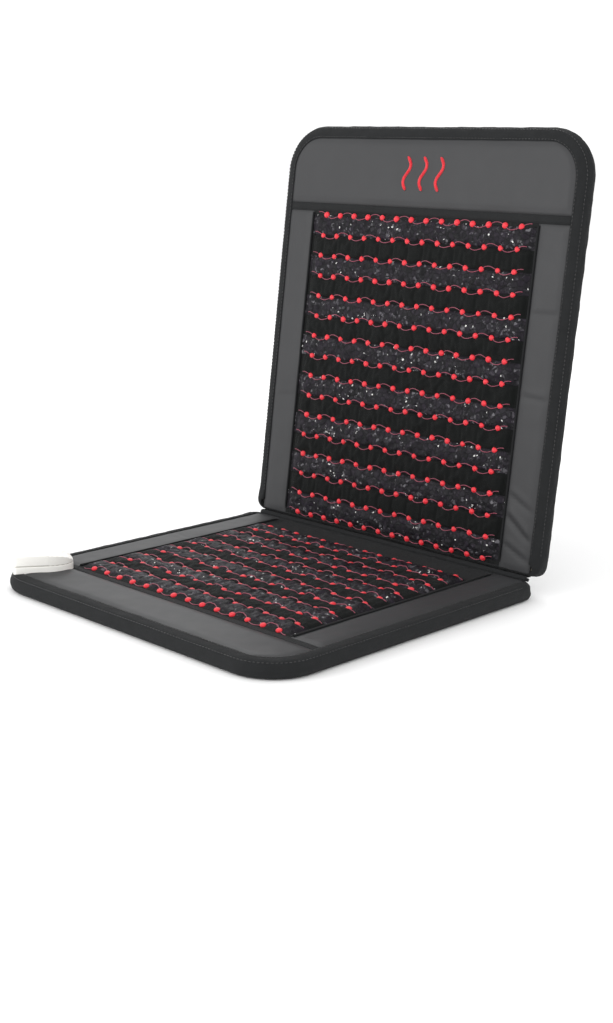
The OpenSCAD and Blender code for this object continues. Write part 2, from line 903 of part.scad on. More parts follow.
// The strap from its sewn end to its bar, drawn for the right side
module strap_half(bar_x) {
    rotate([90, 0, 0]) translate([0, 0, -strap_w / 2]) linear_extrude(strap_w)
        difference() {
            union() {
                ribbon([
                    [strap_turn_x + strap_foot, strap_drop - strap_t / 2],
                    [strap_turn_x, strap_drop - strap_t / 2],
                    [strap_level_x, 0],
                    [bar_x, 0]
                ], strap_t);
                translate([bar_x, 0]) circle(bar_r + wrap_play + strap_t);
            }
            translate([bar_x, 0]) circle(bar_r + wrap_play);
        }
}

module strap_right(v) {
    color("#1b1b1c") on_strap(v) strap_half(plug_bar_x);
}

module strap_left(v) {
    color("#1b1b1c") on_strap(v) mirror([1, 0, 0]) strap_half(-socket_bar_x);
}

module strap_patches() {
    color("#202022") on_back()
        for (v = [lower_strap_v, upper_strap_v], side = [-1, 1])
            translate([side * (strap_turn_x + strap_foot / 2), v, -strap_t - patch_t / 2])
                cube([strap_foot - 2 * patch_inset, strap_w - 2 * patch_inset, patch_t], center = true);
}

module buckle_plate(x0, x1, thick) {
    r = buckle_corner_r;
    translate([0, 0, -thick / 2]) linear_extrude(thick) {
        translate([x0 + r, -buckle_half]) square([x1 - x0 - 2 * r, 2 * buckle_half]);
        translate([x0, -buckle_half + r]) square([x1 - x0, 2 * (buckle_half - r)]);
        for (x = [x0 + r, x1 - r], side = [-1, 1]) translate([x, side * (buckle_half - r)]) circle(r);
    }
}

// A slot for the strap, with the bar that the strap wraps
module strap_slot(bar_x, toward) {
    from = min(bar_x + toward * bar_r, bar_x + toward * (bar_r + slot_l));
    half = strap_w / 2 + strap_play;
    translate([from, -half, -buckle_t]) cube([slot_l, 2 * half, 2 * buckle_t]);
    translate([bar_x - bar_room, -half, -buckle_t]) cube([2 * bar_room, 2 * half, 2 * buckle_t]);
}

module strap_bar(bar_x) {
    half = buckle_half - cut;
    translate([bar_x, half, 0]) rotate([90, 0, 0]) cylinder(r = bar_r, h = 2 * half);
}

module buckle_socket() {
    difference() {
        buckle_plate(socket_bar_x - bar_room, mouth_x, buckle_t);
        translate([socket_back_x + socket_end_t, -cavity_half, -cavity_h / 2])
            cube([buckle_socket_l, 2 * cavity_half, cavity_h]);
        // The two side windows that the barbs snap into
        translate([prong_tip_x - cut, -2 * buckle_half, -cavity_h / 2])
            cube([barb_l + 2 * cut, 4 * buckle_half, cavity_h]);
        strap_slot(socket_bar_x, 1);
    }
    strap_bar(socket_bar_x);
}

module buckle_plug() {
    difference() {
        buckle_plate(plug_x, plug_bar_x + bar_room, plug_t);
        strap_slot(plug_bar_x, -1);
        for (side = [-1, 1]) {
            translate([prong_root_x, side * prong_v, 0])
                cylinder(r = prong_root_r + buckle_play, h = 2 * buckle_t, center = true);
            translate([prong_root_x - 2 * prong_w, side * prong_v - prong_w / 2 - arm_room, -buckle_t])
                cube([2 * prong_w, prong_w + 2 * arm_room, 2 * buckle_t]);
        }
    }
    strap_bar(plug_bar_x);
    translate([prong_tip_x + tongue_back, -tongue_w / 2, -prong_t / 2])
        cube([plug_x - prong_tip_x, tongue_w, prong_t]);
}

// One prong, for the side with positive y
module prong() {
    barb_y = buckle_half + barb_proud;
    inner = prong_v - prong_w / 2;
    translate([0, 0, -prong_t / 2]) linear_extrude(prong_t) {
        translate([prong_root_x, prong_v]) circle(prong_root_r);
        polygon([
            [prong_root_x, inner], [prong_root_x, inner + prong_w],
            [prong_tip_x + barb_l, inner + prong_w], [prong_tip_x + barb_l, barb_y],
            [prong_tip_x + barb_nose, barb_y], [prong_tip_x, inner + prong_w - tip_chamfer],
            [prong_tip_x, inner]
        ]);
    }
}

module adjuster() {
    half = strap_w / 2 + buckle_play;
    tunnel = strap_t + 2 * buckle_play;
    outer_t = tunnel + 2 * adjuster_wall;
    translate([adjuster_x, 0, 0])
        difference() {
            cube([adjuster_l, 2 * (half + adjuster_side), outer_t], center = true);
            cube([2 * adjuster_l, 2 * half, tunnel], center = true);
            for (side = [-1, 1])
                translate([side * adjuster_l / 4, 0, -tunnel])
                    cube([adjuster_l / 4, 2 * (half - adjuster_margin), outer_t], center = true);
        }
}

module upper_strap_left() { strap_left(upper_strap_v); }
module upper_strap_right() { strap_right(upper_strap_v); }
module lower_strap_left() { strap_left(lower_strap_v); }
module lower_strap_right() { strap_right(lower_strap_v); }
module upper_buckle_socket() { color("#232325") on_strap(upper_strap_v) buckle_socket(); }
module lower_buckle_socket() { color("#232325") on_strap(lower_strap_v) buckle_socket(); }
module upper_buckle_plug() { color("#2b2b2e") on_strap(upper_strap_v) buckle_plug(); }
module lower_buckle_plug() { color("#2b2b2e") on_strap(lower_strap_v) buckle_plug(); }
module upper_prong_high() { color("#343438") on_strap(upper_strap_v) prong(); }
module upper_prong_low() { color("#343438") on_strap(upper_strap_v) mirror([0, 1, 0]) prong(); }
module lower_prong_high() { color("#343438") on_strap(lower_strap_v) prong(); }
module lower_prong_low() { color("#343438") on_strap(lower_strap_v) mirror([0, 1, 0]) prong(); }
module upper_strap_adjuster() { color("#2b2b2e") on_strap(upper_strap_v) adjuster(); }
module lower_strap_adjuster() { color("#2b2b2e") on_strap(lower_strap_v) adjuster(); }

seat_backing();
seat_foam();
seat_heater_felt();
seat_heating_wire();
seat_field_base();
seat_crystal_sleeves();
seat_crystal_fill();
seat_padded_bands();
seat_embroidery();
seat_left_border();
seat_right_border();
seat_front_border();
seat_seam_tape();
seat_rear_strip();
seat_binding();
seat_thermal_cutout();
connector_base();
connector_cover();
connector_gasket();
connector_socket();
connector_pins();
connector_board();
connector_screws();
seat_lead();
fold_piping();
fold_strip();
fold_lead();
back_backing();
back_foam();
back_heater_felt();
back_heating_wire();
back_field_base();
back_crystal_sleeves();
back_crystal_fill();
back_padded_bands();
back_embroidery();
back_left_border();
back_right_border();
back_header();
back_seam_tape();
back_bottom_strip();
back_binding();
back_emblem();
back_thermal_cutout();
back_lead();
strap_patches();
upper_strap_left();
upper_strap_right();
lower_strap_left();
lower_strap_right();
upper_buckle_socket();
lower_buckle_socket();
upper_buckle_plug();
lower_buckle_plug();
upper_prong_high();
upper_prong_low();
lower_prong_high();
lower_prong_low();
upper_strap_adjuster();
lower_strap_adjuster();
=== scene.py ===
import json
import math

import bmesh
import bpy
import numpy as np
from mathutils import Matrix, Vector


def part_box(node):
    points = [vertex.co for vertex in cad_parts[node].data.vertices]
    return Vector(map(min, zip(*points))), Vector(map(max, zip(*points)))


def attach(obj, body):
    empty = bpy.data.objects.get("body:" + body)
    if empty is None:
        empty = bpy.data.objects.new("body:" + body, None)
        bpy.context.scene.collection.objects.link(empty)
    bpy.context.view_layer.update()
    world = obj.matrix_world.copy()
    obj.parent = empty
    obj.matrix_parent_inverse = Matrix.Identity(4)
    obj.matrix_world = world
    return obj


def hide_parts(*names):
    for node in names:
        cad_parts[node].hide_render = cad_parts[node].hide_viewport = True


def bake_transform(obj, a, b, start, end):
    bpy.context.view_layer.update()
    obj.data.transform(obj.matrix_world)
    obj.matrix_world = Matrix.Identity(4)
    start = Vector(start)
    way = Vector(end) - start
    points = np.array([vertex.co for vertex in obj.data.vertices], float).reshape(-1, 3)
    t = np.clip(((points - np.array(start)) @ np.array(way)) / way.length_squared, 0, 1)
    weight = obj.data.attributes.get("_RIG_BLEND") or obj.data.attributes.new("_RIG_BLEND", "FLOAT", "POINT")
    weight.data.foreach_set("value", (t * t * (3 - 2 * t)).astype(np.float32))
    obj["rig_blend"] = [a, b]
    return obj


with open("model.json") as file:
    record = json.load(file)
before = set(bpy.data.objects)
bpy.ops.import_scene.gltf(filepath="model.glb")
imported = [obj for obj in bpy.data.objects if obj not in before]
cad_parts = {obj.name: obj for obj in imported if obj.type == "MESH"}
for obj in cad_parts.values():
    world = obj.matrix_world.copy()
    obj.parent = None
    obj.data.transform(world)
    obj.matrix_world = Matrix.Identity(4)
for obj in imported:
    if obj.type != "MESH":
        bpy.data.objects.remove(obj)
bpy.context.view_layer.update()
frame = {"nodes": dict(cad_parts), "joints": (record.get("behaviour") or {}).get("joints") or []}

mm = 0.001
nodes = frame["nodes"]

# The camera and its view, in metres, degrees and millimetres of lens
cameraSet = {"place": (1.2185, -1.1614, 0.5192), "azimuth": 44.585, "elevation": 14.067,
             "roll": 0.622, "focal": 88.22, "sensor": 36.0}


def makeCamera(spec):
    az, el, roll = (math.radians(spec[key]) for key in ("azimuth", "elevation", "roll"))
    look = Vector((-math.sin(az) * math.cos(el), math.cos(az) * math.cos(el), -math.sin(el)))
    level = look.cross(Vector((0, 0, 1))).normalized()
    rise = level.cross(look)
    right = level * math.cos(roll) + rise * math.sin(roll)
    up = rise * math.cos(roll) - level * math.sin(roll)
    data = bpy.data.cameras.new("camera")
    data.sensor_fit = "HORIZONTAL"
    data.sensor_width = spec["sensor"]
    data.lens = spec["focal"]
    camera = bpy.data.objects.new("camera", data)
    turn = Matrix((right, up, -look)).transposed().to_4x4()
    camera.matrix_world = Matrix.Translation(spec["place"]) @ turn
    bpy.context.scene.collection.objects.link(camera)
    bpy.context.scene.camera = camera


makeCamera(cameraSet)
print("camera set")


# A shader socket whose operators add Math nodes
class Sock:
    def __init__(self, tree, socket):
        self.tree, self.socket = tree, socket

    def math(self, operation, *others):
        node = self.tree.nodes.new("ShaderNodeMath")
        node.operation = operation
        for entry, value in zip(node.inputs, (self, *others)):
            if isinstance(value, Sock):
                self.tree.links.new(value.socket, entry)
            else:
                entry.default_value = value
        return Sock(self.tree, node.outputs[0])

    def __add__(self, other): return self.math("ADD", other)
    def __radd__(self, other): return self.math("ADD", other)
    def __sub__(self, other): return self.math("SUBTRACT", other)
    def __rsub__(self, other): return self.math("MULTIPLY_ADD", -1.0, other)
    def __mul__(self, other): return self.math("MULTIPLY", other)
    def __rmul__(self, other): return self.math("MULTIPLY", other)
    def __truediv__(self, other): return self.math("DIVIDE", other)
    def __pow__(self, other): return self.math("POWER", other)
    def sin(self): return self.math("SINE")
    def abs(self): return self.math("ABSOLUTE")
    def above(self, limit): return self.math("GREATER_THAN", limit)
    def high(self, other): return self.math("MAXIMUM", other)

    def clamp(self):
        out = self.math("ADD", 0.0)
        out.socket.node.use_clamp = True
        return out


# One material in the making
class Finish:
    def __init__(self, name, colour, roughness, **sockets):
        self.material = bpy.data.materials.new(name)
        self.material.use_nodes = True
        self.tree = self.material.node_tree
        self.shader = self.tree.nodes["Principled BSDF"]
        self.put("Base Color", (*colour, 1))
        self.put("Roughness", roughness)
        for key, value in sockets.items():
            self.put(key.replace("_", " "), value)

    def put(self, name, value):
        if isinstance(value, Sock):
            self.tree.links.new(value.socket, self.shader.inputs[name])
        else:
            self.shader.inputs[name].default_value = value

    def node(self, kind, settings=None, inputs=None, out=0):
        node = self.tree.nodes.new(kind)
        for key, value in (settings or {}).items():
            if key == "stops":
                ramp = node.color_ramp.elements
                while len(ramp) < len(value):
                    ramp.new(0.5)
                for stop, (place, shade) in zip(ramp, value):
                    stop.position, stop.color = place, (*shade, 1)
            else:
                setattr(node, key, value)
        for key, value in (inputs or {}).items():
            if isinstance(value, Sock):
                self.tree.links.new(value.socket, node.inputs[key])
            else:
                node.inputs[key].default_value = value
        return Sock(self.tree, node.outputs[out])

    def place(self):
        return self.node("ShaderNodeTexCoord", out="Object")

    def flat(self):
        return self.node("ShaderNodeUVMap", {"uv_map": "map"})

    def axes(self, vector):
        first = self.node("ShaderNodeSeparateXYZ", inputs={0: vector})
        return [Sock(self.tree, first.socket.node.outputs[i]) for i in range(3)]

    def noise(self, scale, detail=2.0, roughness=0.5, at=None, out=0):
        return self.node("ShaderNodeTexNoise", inputs={"Vector": at or self.place(), "Scale": scale,
                         "Detail": detail, "Roughness": roughness}, out=out)

    def cells(self, scale, out=0, at=None, feature="F1"):
        return self.node("ShaderNodeTexVoronoi", {"feature": feature},
                         {"Vector": at or self.place(), "Scale": scale}, out)

    def ramp(self, factor, *stops):
        return self.node("ShaderNodeValToRGB", {"stops": stops}, {"Fac": factor})

    def mix(self, factor, first, second):
        node = self.tree.nodes.new("ShaderNodeMix")
        node.data_type = "RGBA"
        ends = [s for s in node.inputs if s.type == "RGBA"]
        for entry, value in zip((node.inputs[0], *ends), (factor, first, second)):
            if isinstance(value, Sock):
                self.tree.links.new(value.socket, entry)
            else:
                entry.default_value = (*value, 1) if isinstance(value, tuple) else value
        return Sock(self.tree, [s for s in node.outputs if s.type == "RGBA"][0])

    def bump(self, height, distance, strength=1.0, under=None):
        inputs = {"Height": height, "Distance": distance, "Strength": strength}
        if under:
            inputs["Normal"] = under
        return self.node("ShaderNodeBump", inputs=inputs)

    # Two crossed sets of threads, pitch metres apart
    def weave(self, pitch, at=None):
        x, y, _ = self.axes(at or self.flat())
        turn = math.pi / pitch
        over = ((x * turn).sin() * (y * turn).sin()).above(0)
        warp, weft = (x * (2 * turn)).sin().abs(), (y * (2 * turn)).sin().abs()
        return warp * over + weft * (1 - over)


# Smooth cover of the borders: soft dark grey with a fine pressed grain
def coverFinish():
    f = Finish("smoothCover", (0.04, 0.04, 0.042), 0.5, Specular_IOR_Level=0.24)
    cloud = f.noise(9.0, 4.0, 0.55)
    rub = f.noise(46.0, 3.0, 0.6)
    f.put("Base Color", f.mix(cloud, (0.03, 0.0305, 0.032), (0.044, 0.0445, 0.0465)))
    f.put("Roughness", 0.44 + cloud * 0.1 + rub * 0.08)
    grain = f.cells(900.0, feature="SMOOTH_F1")
    drape = f.bump(f.noise(16.0, 3.0, 0.5), 0.0016, 0.5)
    f.put("Normal", f.bump(grain, 0.00022, 0.35, drape))
    return f.material


def clothFinish(name, dark, light, pitch, roughness=0.82, relief=0.00025, sheen=0.03):
    f = Finish(name, dark, roughness, Sheen_Weight=sheen, Sheen_Roughness=0.5, Specular_IOR_Level=0.12)
    threads = f.weave(pitch)
    dust = f.noise(60.0, 5.0, 0.65)
    f.put("Base Color", f.mix((threads * 0.45 + dust * 0.55).clamp(), dark, light))
    f.put("Roughness", roughness - threads * 0.1 + dust * 0.06)
    drape = f.bump(f.noise(45.0, 3.0, 0.5), 0.0011, 0.5)
    f.put("Normal", f.bump(threads, relief, 0.6, drape))
    return f.material


# Crushed stones seen through a fine black mesh, with painted glints
def stoneFinish():
    f = Finish("stoneMesh", (0.05, 0.05, 0.055), 0.5, Specular_IOR_Level=0.12)
    at = f.flat()
    warp = f.noise(120.0, 3.0, 0.6, at=at, out=1)
    bent = f.node("ShaderNodeVectorMath", {"operation": "MULTIPLY_ADD"}, {0: warp, 1: (0.006,) * 3, 2: at})
    tone = f.axes(f.cells(150.0, out="Color", at=bent))
    facet = f.axes(f.cells(330.0, out="Color", at=bent))
    edge = f.cells(150.0, at=bent, feature="DISTANCE_TO_EDGE")
    cloud = f.noise(28.0, 3.0, 0.6, at=at)
    light = (tone[0] ** 2.6) * 0.5 + (facet[0] ** 5.0) * 0.7 + (cloud ** 3.0) * 1.1
    grey = f.ramp(light.clamp(), (0.0, (0.0035, 0.0035, 0.0042)), (0.35, (0.0085, 0.0083, 0.0098)),
                  (0.7, (0.029, 0.0275, 0.032)), (1.0, (0.2, 0.195, 0.21)))
    violet = f.mix(tone[1] * 0.5, grey, (0.03, 0.02, 0.036))
    gap = (edge * 9.0).clamp()
    stones = f.mix(gap, (0.009, 0.009, 0.01), violet)
    # Painted glints: a few near-white specks in the base colour, with lower roughness, stand in for sparkle
    # highlights on the crystals
    glint = f.cells(520.0, out="Color", at=at)
    paintedGlints = f.axes(glint)[2].above(0.972) * facet[1].above(0.55) * cloud.above(0.5)
    x, y, _ = f.axes(at)
    net = ((x * (math.pi / 0.0013)).sin().abs() * (y * (math.pi / 0.0013)).sin().abs()).clamp()
    netted = f.mix((1 - net) * 0.5, stones, (0.01, 0.01, 0.011))
    f.put("Base Color", f.mix(paintedGlints, netted, (0.62, 0.62, 0.6)))
    f.put("Roughness", 0.62 - paintedGlints * 0.35 - tone[2] * 0.2)
    lumps = f.bump(gap * 0.5 + tone[0] * 0.5, 0.0012, 0.7)
    f.put("Normal", f.bump(net, 0.0002, 0.4, lumps))
    return f.material


# Embroidery thread laid in close parallel stitches
def threadFinish(name, colour, shade, pitch, direction=0):
    f = Finish(name, colour, 0.42, Sheen_Weight=0.25, Sheen_Roughness=0.35, Specular_IOR_Level=0.5)
    along = f.axes(f.place())[direction]
    rib = (along * (math.pi / pitch)).sin().abs()
    fuzz = f.noise(700.0, 3.0, 0.6)
    f.put("Base Color", f.mix((rib * 0.75 + fuzz * 0.25).clamp(), shade, colour))
    f.put("Roughness", 0.5 - rib * 0.14)
    f.put("Normal", f.bump(rib + fuzz * 0.2, 0.00022, 0.8))
    return f.material


def mouldedFinish(name, colour, roughness, grain=0.00008, scale=1400.0):
    f = Finish(name, colour, roughness, Specular_IOR_Level=0.5)
    soil = f.noise(70.0, 4.0, 0.6)
    darker = tuple(c * 0.9 for c in colour)
    f.put("Base Color", f.mix(soil, darker, colour))
    f.put("Roughness", roughness - 0.05 + soil * 0.12)
    f.put("Normal", f.bump(f.noise(scale, 2.0, 0.5), grain, 0.5))
    return f.material


def metalFinish(name, colour, roughness):
    f = Finish(name, colour, roughness, Metallic=1.0)
    brushed = f.noise(240.0, 5.0, 0.7)
    f.put("Roughness", roughness + brushed * 0.15)
    f.put("Normal", f.bump(brushed, 0.00004, 0.4))
    return f.material


def foamFinish():
    f = Finish("foam", (0.78, 0.7, 0.5), 0.9)
    pores = f.cells(700.0)
    f.put("Base Color", f.mix(pores.clamp(), (0.62, 0.54, 0.36), (0.84, 0.77, 0.58)))
    f.put("Normal", f.bump(pores, 0.0004, 0.6))
    return f.material


def feltFinish():
    f = Finish("felt", (0.25, 0.25, 0.26), 0.95)
    fibre = f.noise(420.0, 6.0, 0.75)
    f.put("Base Color", f.mix(fibre, (0.17, 0.17, 0.18), (0.34, 0.34, 0.35)))
    f.put("Normal", f.bump(fibre, 0.0005, 0.6))
    return f.material


# Stretch webbing: ribs along the strap and fine picks across it
def webbingFinish():
    f = Finish("webbing", (0.02, 0.02, 0.022), 0.7, Sheen_Weight=0.2)
    x, y, _ = f.axes(f.flat())
    ribs = (y * (math.pi / 0.0016)).sin().abs()
    picks = (x * (math.pi / 0.0011)).sin().abs()
    shade = (ribs * 0.6 + picks * 0.4).clamp()
    f.put("Base Color", f.mix(shade, (0.008, 0.008, 0.009), (0.034, 0.034, 0.037)))
    f.put("Normal", f.bump(ribs * 0.7 + picks * 0.3, 0.0004, 0.8))
    return f.material


finishes = {
    "cover": coverFinish(),
    "binding": clothFinish("binding", (0.008, 0.0085, 0.009), (0.022, 0.023, 0.024), 0.0009),
    "padded": clothFinish("paddedFabric", (0.002, 0.0025, 0.0024), (0.0062, 0.0072, 0.0069), 0.0007, 0.8),
    "field": clothFinish("fieldFabric", (0.006, 0.0065, 0.0065), (0.015, 0.016, 0.016), 0.0008, 0.85),
    "tape": clothFinish("tape", (0.008, 0.0085, 0.009), (0.022, 0.023, 0.024), 0.0011, 0.8),
    "backing": clothFinish("backingFabric", (0.014, 0.014, 0.015), (0.034, 0.034, 0.036), 0.0012, 0.88),
    "stone": stoneFinish(),
    "red": threadFinish("redThread", (0.93, 0.028, 0.05), (0.6, 0.006, 0.014), 0.0006),
    "dusky": threadFinish("duskyThread", (0.36, 0.075, 0.12), (0.2, 0.02, 0.045), 0.0009),
    "blackThread": threadFinish("blackThread", (0.02, 0.02, 0.021), (0.004, 0.004, 0.004), 0.0007),
    "greyThread": threadFinish("greyThread", (0.07, 0.07, 0.072), (0.02, 0.02, 0.021), 0.0007),
    "ivory": mouldedFinish("ivoryPlastic", (0.93, 0.915, 0.87), 0.38),
    "seal": mouldedFinish("seal", (0.5, 0.48, 0.43), 0.7),
    "blackPlastic": mouldedFinish("blackPlastic", (0.016, 0.016, 0.018), 0.42, 0.00012),
    "lead": mouldedFinish("leadSheath", (0.02, 0.02, 0.022), 0.5),
    "wireSheath": mouldedFinish("wireSheath", (0.42, 0.1, 0.035), 0.5),
    "board": mouldedFinish("circuitBoard", (0.03, 0.16, 0.06), 0.4),
    "brass": metalFinish("contactMetal", (0.75, 0.52, 0.2), 0.25),
    "steel": metalFinish("screwMetal", (0.55, 0.56, 0.58), 0.3),
    "foam": foamFinish(),
    "felt": feltFinish(),
    "webbing": webbingFinish(),
}
print("finishes made:", len(finishes))


# The fold, read from the frame
foldJoint = next(joint for joint in frame["joints"] if joint["name"] == "fold")
hinge = np.array(foldJoint["pos_m"], float)
foldTurn = -math.radians(foldJoint["range_deg"][0])
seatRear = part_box("seat_binding")[1][1]
foldReach = hinge[1] - seatRear


# A panel's own frame: x across, v from the fold edge, w up from its underside
class Panel:
    def __init__(self, name, rows):
        self.name, self.rows = name, rows
        binding, backing = self.span("binding"), self.span("backing")
        self.half, self.length, self.face = binding[1]
        self.bound = self.half - backing[1][0]
        self.foldBound = backing[0][1]
        dots = self.span("embroidery")
        middle = (dots[0][1] + dots[1][1]) / 2
        self.firstRow = middle - (rows - 1) / 2 * quilt["pitch"]
        self.bandHalf, _, self.top = self.span("crystal_sleeves")[1]
        self.base = self.span("field_base")

    def toRow(self, points):
        x, v, w = np.moveaxis(np.asarray(points, float), -1, 0)
        if self.name == "seat":
            return np.stack((x, seatRear - v, w), -1)
        y, z = foldReach + v, w - hinge[2]
        c, s = math.cos(foldTurn), math.sin(foldTurn)
        return np.stack((x, hinge[1] + y * c - z * s, hinge[2] + y * s + z * c), -1)

    def toPanel(self, points):
        x, y, z = np.moveaxis(np.asarray(points, float), -1, 0)
        if self.name == "seat":
            return np.stack((x, seatRear - y, z), -1)
        dy, dz = y - hinge[1], z - hinge[2]
        c, s = math.cos(foldTurn), math.sin(foldTurn)
        return np.stack((x, dy * c + dz * s - foldReach, dz * c - dy * s + hinge[2]), -1)

    # Lowest and highest corner of a CAD node in this frame
    def span(self, node):
        full = node if node in nodes else f"{self.name}_{node}"
        points = self.toPanel([v.co for v in nodes[full].data.vertices])
        return points.min(0), points.max(0)

    def rowAt(self, i):
        return self.firstRow + i * quilt["pitch"]


quilt = {"pitch": 0.026, "dots": 14, "dotPitch": 0.024, "seam": 2.2 * mm,
         "acrossSteps": 120, "bandSteps": 9, "dimple": 1.0 * mm, "simFrames": 20, "cap": 1.8 * mm,
         "stone": 7.0 * mm, "stoneRelief": 1.0 * mm, "seatShift": 3.0 * mm, "rowPlay": 1.6 * mm,
         "sunk": 0.4 * mm, "fill": 0.75}
seat = Panel("seat", 12)
back = Panel("back", 16)


# Smooth value noise on a seeded lattice, from -1 to 1
def waver(x, y, scale, seed):
    lattice = np.random.default_rng(seed).uniform(-1, 1, (97, 97))
    fx, fy = np.asarray(x) / scale + 311.0, np.asarray(y) / scale + 173.0
    ix, iy = np.floor(fx).astype(int), np.floor(fy).astype(int)
    tx, ty = fx - ix, fy - iy
    tx, ty = tx * tx * (3 - 2 * tx), ty * ty * (3 - 2 * ty)
    a, b = lattice[ix % 97, iy % 97], lattice[(ix + 1) % 97, iy % 97]
    c, d = lattice[ix % 97, (iy + 1) % 97], lattice[(ix + 1) % 97, (iy + 1) % 97]
    return (a * (1 - tx) + b * tx) * (1 - ty) + (c * (1 - tx) + d * tx) * ty


def ease(t):
    t = np.clip(t, 0, 1)
    return t * t * (3 - 2 * t)


# How far along a path each of its points is
def lengthsAlong(path):
    return np.concatenate(([0], np.cumsum(np.linalg.norm(np.diff(path, axis=0), axis=1))))


def addPiece(name, points, faces, material, body, replaced=(), uv=None, smooth=True):
    mesh = bpy.data.meshes.new(name)
    mesh.from_pydata([tuple(p) for p in points], [], faces)
    if uv is not None:
        layer = mesh.uv_layers.new(name="map")
        corners = np.zeros(len(mesh.loops), int)
        mesh.loops.foreach_get("vertex_index", corners)
        layer.data.foreach_set("uv", np.asarray(uv, float)[corners].ravel())
    mesh.materials.append(material)
    mesh.polygons.foreach_set("use_smooth", [smooth] * len(mesh.polygons))
    return keepPiece(name, mesh, body, replaced)


# A finished mesh as a piece that rides on its body and stands for CAD nodes
def keepPiece(name, mesh, body, replaced=()):
    piece = bpy.data.objects.new(name, mesh)
    bpy.context.scene.collection.objects.link(piece)
    if body:
        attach(piece, body)
    if replaced:
        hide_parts(*replaced)
    return piece


# Faces of a grid of points, rows by columns, wound so that they look along +w
def gridFaces(rows, columns, start=0, flip=False):
    faces = []
    for i in range(rows - 1):
        for j in range(columns - 1):
            a = start + i * columns + j
            quad = (a, a + 1, a + columns + 1, a + columns)
            faces.append(quad[::-1] if flip else quad)
    return faces


# A grid surface closed below by walls down to height low and a flat base
def closedShell(grid, low, flip=False):
    rows, columns = grid.shape[:2]
    rim = [(0, j) for j in range(columns)] + [(i, columns - 1) for i in range(1, rows)]
    rim += [(rows - 1, j) for j in range(columns - 2, -1, -1)] + [(i, 0) for i in range(rows - 2, 0, -1)]
    top = grid.reshape(-1, 3)
    edge = np.array([grid[i, j] for i, j in rim])
    edge[:, 2] = low
    points = np.vstack((top, edge))
    faces = gridFaces(rows, columns, flip=flip)
    count, first = len(rim), rows * columns
    for k in range(count):
        a, b = rim[k], rim[(k + 1) % count]
        quad = (a[0] * columns + a[1], first + k, first + (k + 1) % count, b[0] * columns + b[1])
        faces.append(quad[::-1] if flip else quad)
    base = tuple(first + k for k in range(count))
    faces.append(base if flip else base[::-1])
    return points, faces


# Several shells as one list of points and faces
def joined(shells):
    allFaces, count = [], 0
    for points, faces in shells:
        allFaces += [tuple(i + count for i in face) for face in faces]
        count += len(points)
    return np.vstack([points for points, _ in shells]), allFaces


# Panel points become a piece; the seat's frame is mirrored, so its faces turn over
def panelPiece(panel, name, grid, low, material, replaced=()):
    points, faces = closedShell(grid, low, flip=panel.name == "seat")
    return addPiece(name, panel.toRow(points), faces, finishes[material], panel.name,
                    replaced, uv=points[:, :2] + 0.5)


# One step of cubic subdivision along both directions of a grid
def refine(grid):
    for axis in (0, 1):
        g = np.moveaxis(grid, axis, 0)
        out = np.empty((2 * len(g) - 1, *g.shape[1:]))
        out[1::2] = (g[:-1] + g[1:]) / 2
        out[0::2] = g
        out[2:-1:2] = (g[:-2] + 6 * g[1:-1] + g[2:]) / 8
        grid = np.moveaxis(out, 0, axis)
    return grid


def dotPlaces():
    return (np.arange(quilt["dots"]) - (quilt["dots"] - 1) / 2) * quilt["dotPitch"]


# Each row of dots sits a little to one side
def rowShift(panel, i):
    seed, shift = (40, 0.0) if panel.name == "back" else (80, quilt["seatShift"])
    return shift + float(np.random.default_rng(seed + i).uniform(-1, 1)) * quilt["rowPlay"]


def fieldGrid(panel):
    xs = np.linspace(panel.base[0][0], panel.base[1][0], quilt["acrossSteps"] + 1)
    lowEdge, highEdge = panel.base[0][1], panel.base[1][1]
    lastRow = panel.rowAt(panel.rows - 1)
    vs = list(np.linspace(lowEdge, panel.firstRow, 3))
    for i in range(panel.rows - 1):
        vs += list(np.linspace(panel.rowAt(i), panel.rowAt(i + 1), quilt["bandSteps"] + 1)[1:])
    vs += list(np.linspace(lastRow, highEdge, 3)[1:])
    V, X = np.meshgrid(vs, xs, indexing="ij")
    across = (V - panel.firstRow) / quilt["pitch"]
    band = np.clip(across - np.floor(np.clip(across, 0, panel.rows - 1.0001)), 0, 1)
    bulge = (1 - np.abs(2 * band - 1) ** 2.3) ** 0.62
    inside = (across >= 0) & (across <= panel.rows - 1)
    toEdge = np.minimum(V - lowEdge, highEdge - V)
    seam = quilt["seam"] * np.where(inside, 1, ease(toEdge / (panel.firstRow - lowEdge)))
    height = seam + np.where(inside, (panel.top - panel.face - quilt["seam"]) * bulge, 0)
    end = np.clip((panel.bandHalf + 2 * mm - np.abs(X)) / (11 * mm), 0, 1)
    height = height * np.sqrt(1 - (1 - end) ** 2)
    pin = np.where((end <= 0.02) | (toEdge < 1e-6), 1.0, 0.0)
    pin = np.maximum(pin, np.where(np.abs(band - np.round(band)) < 1e-3, 0.72, 0))
    for i in range(panel.rows):
        for x in dotPlaces() + rowShift(panel, i):
            far = np.hypot(X - x, V - panel.rowAt(i))
            height = height - quilt["dimple"] * np.exp(-((far / (5 * mm)) ** 2))
            pin = np.maximum(pin, np.where(far < 3.4 * mm, 1.0, 0))
    height += 0.35 * mm * waver(X, V, 31 * mm, 5) * ease(height / (3 * mm))
    return np.stack((X, V, panel.face + 0.5 * mm + height), -1), pin


